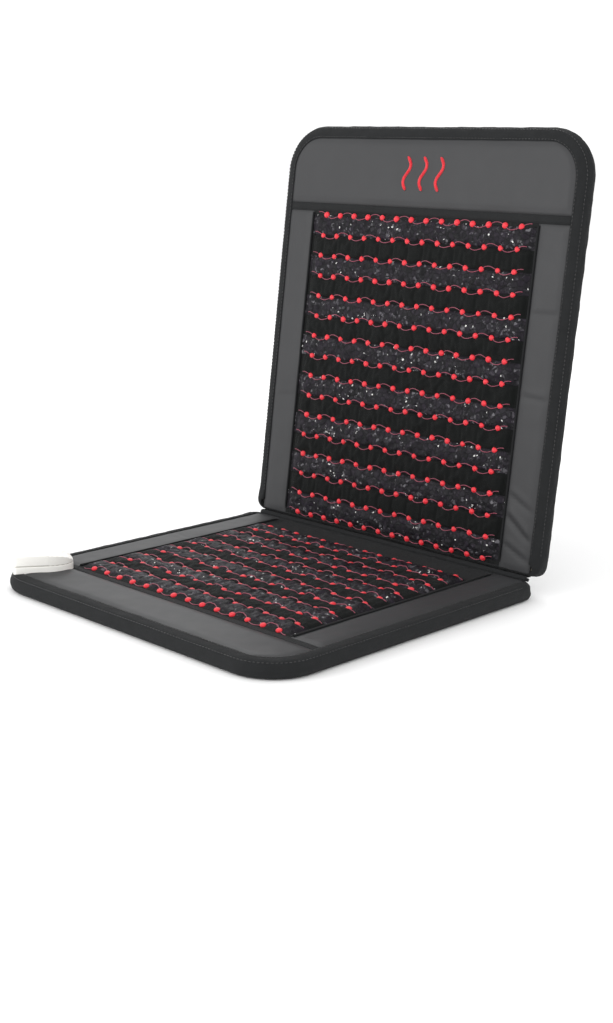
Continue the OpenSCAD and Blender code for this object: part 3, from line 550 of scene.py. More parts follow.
# Cloth under a light pressure from the stuffing, held at its seams and dots
def stuff(grid, pin):
    scene = bpy.context.scene
    rows, columns = grid.shape[:2]
    mesh = bpy.data.meshes.new("stuffing")
    mesh.from_pydata([tuple(p) for p in grid.reshape(-1, 3)], [], gridFaces(rows, columns))
    cloth = bpy.data.objects.new("stuffing", mesh)
    scene.collection.objects.link(cloth)
    group = cloth.vertex_groups.new(name="held")
    for i, weight in enumerate(pin.ravel()):
        group.add([i], float(weight), "REPLACE")
    modifier = cloth.modifiers.new("cloth", "CLOTH")
    settings = modifier.settings
    settings.quality = 6
    settings.mass = 0.15
    settings.tension_stiffness = settings.compression_stiffness = 12
    settings.shear_stiffness = 6
    settings.bending_stiffness = 0.3
    settings.vertex_group_mass = "held"
    settings.shrink_min = -0.045
    settings.use_pressure = True
    settings.uniform_pressure_force = 4.0
    settings.effector_weights.gravity = 0.0
    modifier.point_cache.frame_start = 1
    modifier.point_cache.frame_end = quilt["simFrames"]
    for step in range(1, quilt["simFrames"] + 1):
        scene.frame_set(step)
    result = cloth.evaluated_get(bpy.context.evaluated_depsgraph_get()).to_mesh()
    moved = np.empty(len(result.vertices) * 3)
    result.vertices.foreach_get("co", moved)
    moved = moved.reshape(grid.shape) - grid
    size = np.linalg.norm(moved, axis=-1, keepdims=True)
    print("  cloth moved up to %.1f mm" % (size.max() / mm))
    moved *= np.minimum(1, quilt["cap"] / np.maximum(size, 1e-9))
    scene.frame_set(1)
    bpy.data.objects.remove(cloth)
    return grid + moved


# Rounded pebbles pushed up through the sleeve
def stoneLift(X, V, seed):
    size = quilt["stone"]
    random = np.random.default_rng(seed)
    jitter = random.uniform(0.12, 0.88, (113, 113, 3))
    cx, cy = np.floor(X / size).astype(int), np.floor(V / size).astype(int)
    best = np.full(X.shape, 9.0)
    tall = np.zeros(X.shape)
    for dx in (-1, 0, 1):
        for dy in (-1, 0, 1):
            pick = jitter[(cx + dx) % 113, (cy + dy) % 113]
            far = np.hypot(X / size - (cx + dx + pick[..., 0]), V / size - (cy + dy + pick[..., 1]))
            tall = np.where(far < best, pick[..., 2], tall)
            best = np.minimum(best, far)
    return quilt["stoneRelief"] * (0.35 + 0.65 * tall) * (1 - np.clip(best / 0.75, 0, 1) ** 2) ** 0.8


def quiltedField(panel):
    grid, pin = fieldGrid(panel)
    fine = refine(stuff(grid, pin))
    step = 2 * quilt["bandSteps"]
    lead = 4
    edge = np.clip((panel.bandHalf - 3 * mm - np.abs(fine[..., 0])) / (6 * mm), 0, 1)
    heights = fine[..., 2].copy()
    parts = {"crystal": [], "padded": []}
    for i in range(panel.rows - 1):
        a = lead + i * step
        strip = fine[a:a + step + 1].copy()
        if i % 2 == 0:
            mid = np.sin(np.linspace(0, math.pi, step + 1))[:, None]
            lift = stoneLift(strip[..., 0], strip[..., 1], 7) * ease(mid * 1.8) * edge[a:a + step + 1]
            strip[..., 2] += lift
            heights[a:a + step + 1] += lift
        parts["padded" if i % 2 else "crystal"].append(strip)
    for kind, material, slotName, replaced in (
            ("crystal", "stone", "crystal_mesh", ("crystal_sleeves",)),
            ("padded", "padded", "padded_fabric", ("padded_bands",))):
        points, faces = joined([closedShell(strip, panel.face - quilt["sunk"], flip=panel.name == "seat")
                                for strip in parts[kind]])
        piece = addPiece(f"{panel.name}_{kind}Bands", panel.toRow(points), faces, finishes[material],
                         panel.name, [f"{panel.name}_{r}" for r in replaced],
                         uv=points[:, :2] + 0.5)
    # The flat ends of the sheet beyond the first and last row
    for word, piece in (("low", fine[:lead + 1]), ("high", fine[-lead - 1:])):
        panelPiece(panel, f"{panel.name}_field_{word}Edge", piece, panel.face - quilt["sunk"], "field",
                   [f"{panel.name}_field_base"] if word == "low" else ())
    return fine, heights


# Height of the quilted surface at a place on the panel
def surfaceAt(field, x, v):
    fine, heights = field
    columns = np.interp(x, fine[0, :, 0], np.arange(fine.shape[1]))
    rows = np.interp(v, fine[:, fine.shape[1] // 2, 1], np.arange(fine.shape[0]))
    i, j = np.floor(rows).astype(int), np.floor(columns).astype(int)
    i, j = np.minimum(i, fine.shape[0] - 2), np.minimum(j, fine.shape[1] - 2)
    a, b = rows - i, columns - j
    return ((heights[i, j] * (1 - b) + heights[i, j + 1] * b) * (1 - a)
            + (heights[i + 1, j] * (1 - b) + heights[i + 1, j + 1] * b) * a)


# Geometry Nodes groups, built from a list of steps
class NodeTree:
    def __init__(self, name, *sizes):
        self.group = bpy.data.node_groups.new(name, "GeometryNodeTree")
        self.group.interface.new_socket("Geometry", in_out="INPUT", socket_type="NodeSocketGeometry")
        for size, kind in sizes:
            self.group.interface.new_socket(size, in_out="INPUT", socket_type=kind)
        self.group.interface.new_socket("Geometry", in_out="OUTPUT", socket_type="NodeSocketGeometry")
        self.start = self.group.nodes.new("NodeGroupInput")

    def size(self, name):
        return self.start.outputs[name]

    def add(self, kind, inputs=None, settings=None):
        node = self.group.nodes.new(kind)
        for key, value in (settings or {}).items():
            setattr(node, key, value)
        for key, value in (inputs or {}).items():
            if isinstance(value, bpy.types.NodeSocket):
                self.group.links.new(value, node.inputs[key])
            else:
                node.inputs[key].default_value = value
        return node

    def end(self, geometry):
        real = self.add("GeometryNodeRealizeInstances", {"Geometry": geometry})
        soft = self.add("GeometryNodeSetShadeSmooth", {"Geometry": real.outputs[0]})
        done = self.add("GeometryNodeSetMaterial", {"Geometry": soft.outputs[0],
                                                    "Material": self.size("Finish")})
        out = self.group.nodes.new("NodeGroupOutput")
        self.group.links.new(done.outputs[0], out.inputs[0])
        return self.group


floatKind, intKind, finishKind = "NodeSocketFloat", "NodeSocketInt", "NodeSocketMaterial"


def stitchTree():
    t = NodeTree("stitches", ("Pitch", floatKind), ("Length", floatKind), ("Width", floatKind),
                 ("Finish", finishKind))
    points = t.add("GeometryNodeCurveToPoints", {"Curve": t.start.outputs[0], "Length": t.size("Pitch")},
                   {"mode": "LENGTH"})
    grain = t.add("GeometryNodeMeshUVSphere", {"Segments": 7, "Rings": 5, "Radius": 0.5})
    scale = t.add("ShaderNodeCombineXYZ", {"X": t.size("Width"), "Y": t.size("Width"), "Z": t.size("Length")})
    placed = t.add("GeometryNodeInstanceOnPoints", {"Points": points.outputs["Points"],
                   "Instance": grain.outputs["Mesh"], "Rotation": points.outputs["Rotation"],
                   "Scale": scale.outputs[0]})
    return t.end(placed.outputs[0])


def dotTree():
    t = NodeTree("dots", ("Radius", floatKind), ("Height", floatKind), ("Tilt", floatKind),
                 ("Spread", floatKind), ("Seed", intKind), ("Finish", finishKind))
    dome = t.add("GeometryNodeMeshUVSphere", {"Segments": 14, "Rings": 7, "Radius": 1.0})
    scale = t.add("ShaderNodeCombineXYZ",
                  {"X": t.size("Radius"), "Y": t.size("Radius"), "Z": t.size("Height")})
    turn = t.add("ShaderNodeCombineXYZ", {"X": t.size("Tilt")})
    more = t.add("ShaderNodeMath", {0: 1.0, 1: t.size("Spread")}, {"operation": "ADD"})
    less = t.add("ShaderNodeMath", {0: 1.0, 1: t.size("Spread")}, {"operation": "SUBTRACT"})
    vary = t.add("FunctionNodeRandomValue", {"Min": less.outputs[0], "Max": more.outputs[0],
                                             "Seed": t.size("Seed")}, {"data_type": "FLOAT"})
    sized = t.add("ShaderNodeVectorMath", {0: scale.outputs[0], 3: vary.outputs["Value"]},
                  {"operation": "SCALE"})
    placed = t.add("GeometryNodeInstanceOnPoints", {"Points": t.start.outputs[0],
                   "Instance": dome.outputs["Mesh"], "Rotation": turn.outputs[0], "Scale": sized.outputs[0]})
    return t.end(placed.outputs[0])


def threadTree():
    t = NodeTree("thread", ("Radius", floatKind), ("Finish", finishKind))
    ring = t.add("GeometryNodeCurvePrimitiveCircle", {"Resolution": 6, "Radius": t.size("Radius")})
    tube = t.add("GeometryNodeCurveToMesh", {"Curve": t.start.outputs[0], "Profile Curve": ring.outputs[0],
                                             "Fill Caps": True})
    return t.end(tube.outputs[0])


trees = {"stitches": stitchTree(), "dots": dotTree(), "thread": threadTree()}


def curveSource(name, paths):
    data = bpy.data.curves.new(name, "CURVE")
    data.dimensions = "3D"
    for path in paths:
        spline = data.splines.new("POLY")
        spline.points.add(len(path) - 1)
        for point, place in zip(spline.points, path):
            point.co = (*place, 1)
    return data


# Runs a node group on its source and keeps the result as a plain mesh
def grow(name, source, tree, sizes, material, body, replaced=()):
    carrier = bpy.data.objects.new(name + "Source", source)
    bpy.context.scene.collection.objects.link(carrier)
    modifier = carrier.modifiers.new(name, "NODES")
    modifier.node_group = trees[tree]
    for item in trees[tree].interface.items_tree:
        if item.in_out == "INPUT" and item.name in sizes:
            modifier[item.identifier] = sizes[item.name]
        if item.in_out == "INPUT" and item.name == "Finish":
            modifier[item.identifier] = finishes[material]
    carrier.update_tag()
    bpy.context.view_layer.update()
    graph = bpy.context.evaluated_depsgraph_get()
    mesh = bpy.data.meshes.new_from_object(carrier.evaluated_get(graph))
    mesh.name = name
    bpy.data.objects.remove(carrier)
    return keepPiece(name, mesh, body, replaced)


embroidery = {"dotRadius": 4.1 * mm, "dotHeight": 2.9 * mm, "spread": 0.06, "sink": 0.1 * mm,
              "threadRadius": 0.45 * mm, "swing": 4.2 * mm, "tail": 0.62}


def embroiderField(panel, field):
    dots, paths = [], []
    for i in range(panel.rows):
        v = panel.rowAt(i)
        xs = dotPlaces() + rowShift(panel, i)
        jog = 0.5 * mm * waver(xs, np.full(len(xs), v), 20 * mm, 12 + i)
        w = np.maximum(surfaceAt(field, xs, v + jog), panel.face + 1 * mm) + embroidery["sink"]
        dots += list(np.stack((xs, v + jog, w), -1))
        reach = embroidery["tail"] * quilt["dotPitch"]
        line = np.arange(xs[0] - reach, xs[-1] + reach, 1.5 * mm)
        wave = -embroidery["swing"] * np.sin(math.pi * (line - xs[0]) / quilt["dotPitch"])
        wave += 0.5 * mm * waver(line, np.full(len(line), v), 17 * mm, 60 + i)
        swing = v + wave
        up = surfaceAt(field, line, swing) + embroidery["threadRadius"] * 0.7
        paths.append(panel.toRow(np.stack((line, swing, up), -1)))
    source = bpy.data.meshes.new("dotPlaces")
    source.from_pydata([tuple(p) for p in panel.toRow(dots)], [], [])
    tilt = foldTurn if panel.name == "back" else 0.0
    grow(f"{panel.name}_dots", source, "dots",
         {"Radius": embroidery["dotRadius"], "Height": embroidery["dotHeight"], "Tilt": tilt,
          "Spread": embroidery["spread"], "Seed": 3}, "red", panel.name,
         [f"{panel.name}_embroidery"])
    grow(f"{panel.name}_linkThread", curveSource("linkThread", paths), "thread",
         {"Radius": embroidery["threadRadius"]}, "dusky", panel.name)


fields = {}
for panel in (seat, back):
    fields[panel.name] = quiltedField(panel)
    embroiderField(panel, fields[panel.name])
    print("quilted", panel.name)


border = {"step": 3.2 * mm, "crown": 1.3 * mm, "lift": 0.5 * mm, "tuck": 2.2 * mm, "waver": 0.5 * mm,
          "cornerRadius": 58 * mm, "foldCornerRadius": 14 * mm, "fallReach": 34 * mm,
          "fall": {"seat": 1.4 * mm, "back": 3.0 * mm}, "depth": 3.4 * mm, "fill": 0.4,
          # Below the face on the seat, where the back's first bands come down when it is shut
          "foldCrown": {"seat": -1.9 * mm, "back": 0.8 * mm},
          "tapeOverlap": 0.5 * mm, "tapeCrown": 1.2 * mm}
# Creases of the side covers: place along the cover, slope, depth and width
creases = {"seat": {"left": ((0.16, 0.1, 0.5 * mm, 3 * mm),), "right": ()},
           "back": {"left": ((0.16, 0.1, 0.5 * mm, 3 * mm),),
                    "right": ((0.302, 0.03, 1.1 * mm, 3.2 * mm), (0.205, -0.05, 1.0 * mm, 3 * mm),
                              (0.052, -0.75, 2.0 * mm, 4.2 * mm), (0.082, -0.5, 1.1 * mm, 3.4 * mm),
                              (0.024, -0.45, 1.2 * mm, 3 * mm))}}
sidePiping = {"radius": 1.5 * mm, "rise": 1.3 * mm, "dive": 3.2 * mm, "level": 14 * mm, "slope": 8 * mm}
covers = {}


# The face falls a little toward the panel's free edges
def edgeFall(panel, X, V):
    radius = border["cornerRadius"]
    dx = np.maximum(np.abs(X) - (panel.half - radius), 0)
    dv = np.maximum(V - (panel.length - radius), 0)
    inward = radius - np.hypot(dx, dv)
    return fallAt(panel, np.where((dx > 0) | (dv > 0), inward, radius))


def fallAt(panel, inward):
    return border["fall"][panel.name] * np.clip(1 - inward / border["fallReach"], 0, 1) ** 2


# A crowned cover between two lines, from v0 to v1. sides(v) gives its left and right edge
def coverPatch(panel, name, sides, v0, v1, material, replaced, crown, folds=()):
    vs = np.linspace(v0, v1, max(4, int((v1 - v0) / border["step"]) + 1))
    left, right = sides(vs)
    columns = max(4, int(np.max(right - left) / border["step"]) + 1)
    u = np.linspace(0, 1, columns)
    X = left[:, None] + (right - left)[:, None] * u
    V = np.repeat(vs[:, None], columns, 1)
    fromSide = np.minimum(X - left[:, None], right[:, None] - X)
    fromEnd = np.minimum(V - v0, v1 - V)
    swell = ease(fromSide / (9 * mm)) * ease(fromEnd / (9 * mm))
    height = border["lift"] + crown * swell
    height += border["waver"] * waver(X, V, 38 * mm, 21) * swell
    height += 0.25 * mm * waver(X, V, 14 * mm, 22) * swell
    for place, slope, depth, width in folds:
        off = (V - place) - slope * (X - X.mean())
        height -= depth * np.exp(-((off / width) ** 2)) * swell
        height += 0.6 * depth * np.exp(-(((off - 1.9 * width) / (1.3 * width)) ** 2)) * swell
    grid = np.stack((X, V, panel.face + height - edgeFall(panel, X, V)), -1)
    covers[name] = grid
    return panelPiece(panel, name, grid, panel.face - border["depth"], material, replaced)


# The inner edge of the binding, as a half width at each v
def innerHalf(panel, vs, tuck):
    half = panel.half - panel.bound + tuck
    radius = border["cornerRadius"] - panel.bound + tuck
    centre = panel.length - border["cornerRadius"]
    over = np.clip(vs - centre, 0, radius * 0.9999)
    return half - radius + np.sqrt(radius ** 2 - over ** 2)


def makeBorders(panel, endName, clothName, stripName):
    inner = panel.base[1][0]
    outer = panel.half - panel.bound + border["tuck"]
    v0 = panel.foldBound - border["tuck"]
    tape = panel.span("seam_tape")
    for side, sign in (("left", -1), ("right", 1)):
        def sides(vs, sign=sign):
            low, high = sorted((sign * inner, sign * outer))
            return np.full(len(vs), low), np.full(len(vs), high)
        patch = coverPatch(panel, f"{panel.name}_{side}Cover", sides, v0, tape[0][1], "cover",
                           [f"{panel.name}_{side}_border"], border["crown"], creases[panel.name][side])

    def wide(vs):
        half = innerHalf(panel, vs, border["tuck"])
        return -half, half
    end = coverPatch(panel, f"{panel.name}_endCover", wide, tape[1][1],
                     panel.length - panel.bound + border["tuck"], "cover",
                     [f"{panel.name}_{endName}"], border["crown"] * 1.3)
    over = border["tapeOverlap"]
    coverPatch(panel, f"{panel.name}_seamTape", wide, tape[0][1] - over, tape[1][1] + over,
               "tape", [f"{panel.name}_seam_tape"], border["tapeCrown"])

    def middle(vs):
        return np.full(len(vs), -inner), np.full(len(vs), inner)
    coverPatch(panel, f"{panel.name}_{clothName}", middle, v0, panel.base[0][1] + over, "tape",
               [f"{panel.name}_{stripName}"], border["foldCrown"][panel.name])
    # A thin piping between the field and each side cover, which goes under near the fold
    runs = []
    for sign in (-1, 1):
        vs = np.arange(v0 + 1 * mm, tape[0][1], 5 * mm)
        w = panel.face + sidePiping["rise"] + 0.2 * mm * waver(vs, vs * 0, 30 * mm, 9)
        w -= sidePiping["dive"] * ease((sidePiping["level"] - vs) / sidePiping["slope"])
        x = sign * inner + 0.3 * mm * waver(vs, vs * 0, 40 * mm, 10)
        runs.append(panel.toRow(np.stack((x, vs, w), -1)))
    grow(f"{panel.name}_sidePiping", curveSource("piping", runs), "thread",
         {"Radius": sidePiping["radius"]}, "binding", panel.name)


makeBorders(seat, "front_border", "rearCloth", "rear_strip")
makeBorders(back, "header", "bottomCloth", "bottom_strip")
print("borders made")


bound = {"step": 4 * mm, "roll": 5.5 * mm, "bulge": 0.9 * mm, "fill": 0.7,
         "stitchInset": 2.4 * mm, "stitchPitch": 4.6 * mm, "stitchLength": 3.1 * mm,
         "stitchWidth": 0.9 * mm}


# The panel's edge as points with outward normals and the binding's width there
def edgePath(panel):
    free, fold = border["cornerRadius"], border["foldCornerRadius"]
    half, end = panel.half, panel.length
    corners = [(half - fold, fold, -90, fold), (half - free, end - free, 0, free),
               (-half + free, end - free, 90, free), (-half + fold, fold, 180, fold)]
    points, normals, widths = [], [], []
    for k, (cx, cy, start, radius) in enumerate(corners):
        steps = max(8, int(radius * math.pi / 2 / bound["step"]) * 2)
        for i in range(steps + 1):
            angle = math.radians(start + 90 * i / steps)
            normal = np.array([math.cos(angle), math.sin(angle)])
            points.append(np.array([cx, cy]) + radius * normal)
            normals.append(normal)
            near = (i / steps if k == 0 else 1 - i / steps) if k in (0, 3) else 1.0
            widths.append(panel.foldBound + (panel.bound - panel.foldBound) * near)
        nx, ny, _, nextRadius = corners[(k + 1) % 4]
        angle = math.radians(start + 90)
        normal = np.array([math.cos(angle), math.sin(angle)])
        goal = np.array([nx, ny]) + nextRadius * normal
        here = points[-1]
        count = int(np.linalg.norm(goal - here) / bound["step"])
        for i in range(1, count):
            points.append(here + (goal - here) * i / count)
            normals.append(normal)
            widths.append(widths[-1])
    return np.array(points), np.array(normals), np.array(widths)


# The binding's section: distance in from the edge and height, from its top inner edge round to its lower one
def bindingSection(panel, width):
    roll, face = bound["roll"], panel.face
    flat = max(width, roll * 0.6)
    points = [(flat, face - 0.5 * mm), (flat - 0.1 * mm, face + 1.0 * mm), (flat - 0.9 * mm, face + 1.6 * mm)]
    points += [(roll + (flat - roll) * t, face + 1.5 * mm + 0.5 * mm * math.sin(math.pi * t))
               for t in (0.75, 0.5, 0.25, 0.0)] if flat > roll else [(flat * 0.9, face + 1.2 * mm)]
    for k in range(1, 8):
        angle = math.pi / 2 * k / 7
        down = (roll + 1 * mm) * (1 - math.cos(angle))
        points.append((min(roll, flat) * (1 - math.sin(angle)), face + 1.4 * mm - down))
    side = face - roll
    for t in (0.8, 0.6, 0.4):
        points.append((-bound["bulge"] * math.sin(math.pi * t), side * t))
    for k in range(0, 5):
        angle = math.pi / 2 * k / 4
        points.append((4 * mm * (1 - math.cos(angle)), 4 * mm * (1 - math.sin(angle))))
    points += [(flat * 0.6, 0.0), (flat, 0.0), (flat, 0.9 * mm)]
    return np.array(points)


def makeBinding(panel):
    points, normals, widths = edgePath(panel)
    count = len(points)
    sections = [bindingSection(panel, w) for w in widths]
    size = min(len(s) for s in sections)
    sections = [s if len(s) == size else resample(s, size) for s in sections]
    run = lengthsAlong(points)
    grid = np.zeros((count, size, 3))
    for i in range(count):
        inset, height = sections[i][:, 0], sections[i][:, 1]
        pucker = 0.35 * mm * waver(np.full(size, run[i]), np.arange(size) * 9 * mm, 16 * mm, 31)
        pucker += 0.3 * mm * waver(np.full(size, run[i]), np.arange(size) * 3 * mm, 7 * mm, 32)
        outer = height > 1.5 * mm
        inset = inset - pucker * outer * (inset < 5 * mm)
        height = height + pucker * (inset > 3 * mm) * (height > panel.face - 3 * mm)
        free = ease((points[i][1] - border["foldCornerRadius"]) / (20 * mm))
        height = height - free * fallAt(panel, inset) * ease((height - 0.4 * panel.face) / (0.5 * panel.face))
        grid[i, :, :2] = points[i] - normals[i] * inset[:, None]
        grid[i, :, 2] = height
    faces, flip = [], panel.name == "back"
    for i in range(count):
        for j in range(size):
            a, b = i * size + j, i * size + (j + 1) % size
            c, d = ((i + 1) % count) * size + (j + 1) % size, ((i + 1) % count) * size + j
            faces.append((a, b, c, d) if flip else (d, c, b, a))
    along = np.repeat(run[:, None], size, 1)
    girth = np.repeat(lengthsAlong(sections[count // 2])[None], count, 0)
    uv = np.stack((along, girth), -1).reshape(-1, 2)
    piece = addPiece(f"{panel.name}_edgeBinding", panel.toRow(grid.reshape(-1, 3)), faces,
                     finishes["binding"], panel.name, [f"{panel.name}_binding"], uv=uv)
    lines = []
    keep = points[:, 1] > border["foldCornerRadius"]
    order = np.roll(np.arange(count), -int(np.argmax(keep & ~np.roll(keep, 1))))
    order = [k for k in order if keep[k]]
    near = bound["stitchInset"]
    for inset, height in ((near, panel.face + 0.2 * mm), (panel.bound - near, panel.face + 1.8 * mm)):
        line = points[order] - normals[order] * inset
        height -= fallAt(panel, inset)
        lines.append(panel.toRow(np.column_stack((line, np.full(len(line), height)))))
    grow(f"{panel.name}_bindingStitches", curveSource("bindingStitches", lines), "stitches",
         {"Pitch": bound["stitchPitch"], "Length": bound["stitchLength"], "Width": bound["stitchWidth"]},
         "blackThread", panel.name)


def resample(section, size):
    run = lengthsAlong(section)
    at = np.linspace(0, run[-1], size)
    return np.stack([np.interp(at, run, section[:, k]) for k in (0, 1)], -1)


def makeBacking(panel):
    vs = np.linspace(panel.foldBound - 1 * mm, panel.length - panel.bound + 2 * mm, 110)
    half = innerHalf(panel, vs, 2 * mm)
    u = np.linspace(-1, 1, 90)
    X, V = half[:, None] * u, np.repeat(vs[:, None], 90, 1)
    ripple = 0.35 * mm * waver(X, V, 45 * mm, 51) + 0.2 * mm * waver(X, V, 16 * mm, 52)
    grid = np.stack((X, V, np.maximum(0.45 * mm + ripple * 0.8, 0.1 * mm)), -1)
    points, faces = closedShell(grid, 1.2 * mm, flip=panel.name == "back")
    addPiece(f"{panel.name}_backCloth", panel.toRow(points), faces, finishes["backing"],
             panel.name, [f"{panel.name}_backing"], uv=points[:, :2] + 0.5)


foam = {"step": 0.4 * mm, "room": 4 * mm, "rim": 20 * mm, "under": 2.2 * mm, "floor": 1.4 * mm,
        "fill": 0.8}


# The foam core, rounded inside its cover, with the felt's pocket left open
def makeFoam(panel):
    felt = panel.span("heater_felt")
    first, last, side = panel.base[0][1], panel.base[1][1], panel.base[1][0]
    step, room = foam["step"], foam["room"]
    cuts = [first - step, first, last, last + step]
    vs = np.unique(np.concatenate((np.linspace(room, panel.length - room, 40), cuts)))
    half = innerHalf(panel, vs, panel.bound - room)
    corner = border["foldCornerRadius"]
    short = np.clip(corner - vs, 0, corner - room)
    half -= corner - room - np.sqrt((corner - room) ** 2 - short ** 2)
    us = np.linspace(0, 1, 12)
    inner = np.concatenate((us * side, [side + step]))
    grid = []
    for v, wide in zip(vs, half):
        xs = np.concatenate((inner * min(1, (wide - foam["rim"] - room) / inner[-1]),
                             wide - foam["rim"] * (1 - us[1:])))
        xs = np.concatenate((-xs[:0:-1], xs))
        low = (first <= v <= last) * (np.abs(xs) <= side + 0.1 * step)
        top = panel.face - foam["under"] - edgeFall(panel, xs, np.full(len(xs), v))
        grid.append(np.stack((xs, np.full(len(xs), v), np.where(low, felt[0][2] - 0.2 * mm, top)), -1))
    points, faces = closedShell(np.array(grid), foam["floor"], flip=panel.name == "seat")
    piece = addPiece(f"{panel.name}_foamCore", panel.toRow(points), faces, finishes["foam"],
                     panel.name, [f"{panel.name}_foam"])


for panel in (seat, back):
    makeBinding(panel)
    makeBacking(panel)
    makeFoam(panel)
print("bindings made")


# Walls and both ends of a tube of rings, size points to a ring
def tubeFaces(count, size):
    faces = []
    for i in range(count - 1):
        for j in range(size):
            a, b = i * size + j, i * size + (j + 1) % size
            faces.append((a, a + size, b + size, b))
    return faces + [tuple(range(size)), tuple((count - 1) * size + j for j in reversed(range(size)))]


# A section swept along a path of places with their sideways and upward directions
def sweep(name, places, across, up, section, material, body, replaced=(), scale=None):
    count, size = len(places), len(section)
    points = np.zeros((count, size, 3))
    for i in range(count):
        wide = 1 if scale is None else scale[i]
        points[i] = places[i] + wide * (section[:, :1] * across[i] + section[:, 1:] * up[i])
    faces = tubeFaces(count, size)
    run, girth = lengthsAlong(places), lengthsAlong(section)
    uv = np.stack((np.repeat(run[:, None], size, 1), np.repeat(girth[None], count, 0)), -1).reshape(-1, 2)
    piece = addPiece(name, points.reshape(-1, 3), faces, finishes[material], body, replaced, uv=uv)
    outward(piece)
    return piece


# Turns a closed mesh's faces outward
def outward(piece):
    shape = bmesh.new()
    shape.from_mesh(piece.data)
    bmesh.ops.recalc_face_normals(shape, faces=shape.faces)
    shape.to_mesh(piece.data)
    shape.free()


fold = {"strip": 0.9 * mm, "gap": 0.4 * mm, "flange": 6.6 * mm, "corner": 14 * mm, "steps": 20,
        "piping": 2.15 * mm, "lay": 9 * mm, "lead": 2.2 * mm, "rib": 0.16 * mm, "pucker": 0.22 * mm}


def turned(point, angle):
    y, z = point
    return y * math.cos(angle) - z * math.sin(angle), y * math.sin(angle) + z * math.cos(angle)


# The fabric over the fold, the cord inside it and the lead that crosses it
def makeFold():
    radius = foldReach - fold["gap"] - fold["strip"] / 2
    path = [(-radius, -fold["flange"] * t) for t in (1, 0.75, 0.5, 0.25)]
    for k in range(fold["steps"] + 1):
        angle = math.pi + (foldTurn - math.pi) * k / fold["steps"]
        path.append((radius * math.cos(angle), radius * math.sin(angle)))
    path += [turned((radius, -fold["flange"] * t), foldTurn) for t in (0.25, 0.5, 0.75, 1)]
    path = np.array(path)
    along = np.gradient(path, axis=0)
    normal = np.stack((-along[:, 1], along[:, 0]), -1)
    normal /= np.linalg.norm(normal, axis=1, keepdims=True)
    loop = np.vstack((path + normal * fold["strip"] / 2, (path - normal * fold["strip"] / 2)[::-1]))
    loopNormal = np.vstack((normal, normal[::-1]))
    half = seat.half - fold["corner"]
    xs = np.arange(-half, half + 1 * mm, 3 * mm)
    points = []
    for x in xs:
        swell = fold["pucker"] * waver(np.full(len(loop), x), loop[:, 1] * 3, 9 * mm, 71)
        ring = loop + loopNormal * swell[:, None] * 0.8
        points.append(np.column_stack((np.full(len(ring), x), ring + hinge[1:])))
    faces = tubeFaces(len(xs), len(loop))
    uv = np.array([(p[0], p[1] + p[2]) for ring in points for p in ring])
    gusset = addPiece("foldGusset", np.vstack(points), faces, finishes["tape"], "", ["fold_strip"],
                      uv=uv)
    outward(gusset)
    start, end = hinge + (0, -radius, 0), hinge + (0, *turned((radius, 0), foldTurn))
    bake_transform(gusset, "seat", "back", start=tuple(start), end=tuple(end))

    # A corded piping, its threads laid round it at a slant
    angles = np.linspace(0, 2 * math.pi, 16, endpoint=False)
    xs = np.arange(-half, half + 0.5 * mm, 1.5 * mm)
    rings = []
    for x in xs:
        r = fold["piping"] * (0.95 + 0.05 * np.abs(np.sin(2 * angles + math.pi * x / fold["lay"])))
        ring = (np.full(len(angles), x), hinge[1] + r * np.cos(angles), hinge[2] + r * np.sin(angles))
        rings.append(np.column_stack(ring))
    points, faces = np.vstack(rings), tubeFaces(len(xs), len(angles))
    piping = addPiece("foldPiping", points, faces, finishes["binding"], "seat", ["fold_piping"],
                      uv=points[:, :2] + 0.5)
    outward(piping)

    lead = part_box("fold_lead")
    x = (lead[0][0] + lead[1][0]) / 2
    swing = hinge[2] - (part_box("seat_lead")[0][2] + fold["lead"])
    path = [(-foldReach * t, -swing) for t in (1, 0.66, 0.33)]
    path += [turned((0, -swing), foldTurn * k / 24) for k in range(25)]
    path += [turned((foldReach * t, -swing), foldTurn) for t in (0.33, 0.66, 1)]
    path = np.array(path)
    along = np.gradient(path, axis=0)
    along /= np.linalg.norm(along, axis=1, keepdims=True)
    places = np.column_stack((np.full(len(path), x), path + hinge[1:]))
    up = np.column_stack((np.zeros(len(path)), -along[:, 1], along[:, 0]))
    across = np.tile((1.0, 0, 0), (len(path), 1))
    ring = fold["lead"] * np.column_stack((np.cos(angles), np.sin(angles)))
    ribs = [1 + fold["rib"] / fold["lead"] * (i % 2) for i in range(len(path))]
    sleeve = sweep("foldLeadSleeve", places, across, up, ring, "lead", "", ["fold_lead"], ribs)
    start, end = hinge + (0, 0, -swing), hinge + (0, *turned((0, -swing), foldTurn))
    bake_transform(sleeve, "seat", "back", start=tuple(start), end=tuple(end))


makeFold()
print("fold made")


emblem = {"waves": 3, "pitch": 26 * mm, "swing": 5 * mm, "width": 3.9 * mm, "thread": 0.3 * mm,
          "lay": 0.52 * mm, "rise": 0.9 * mm}


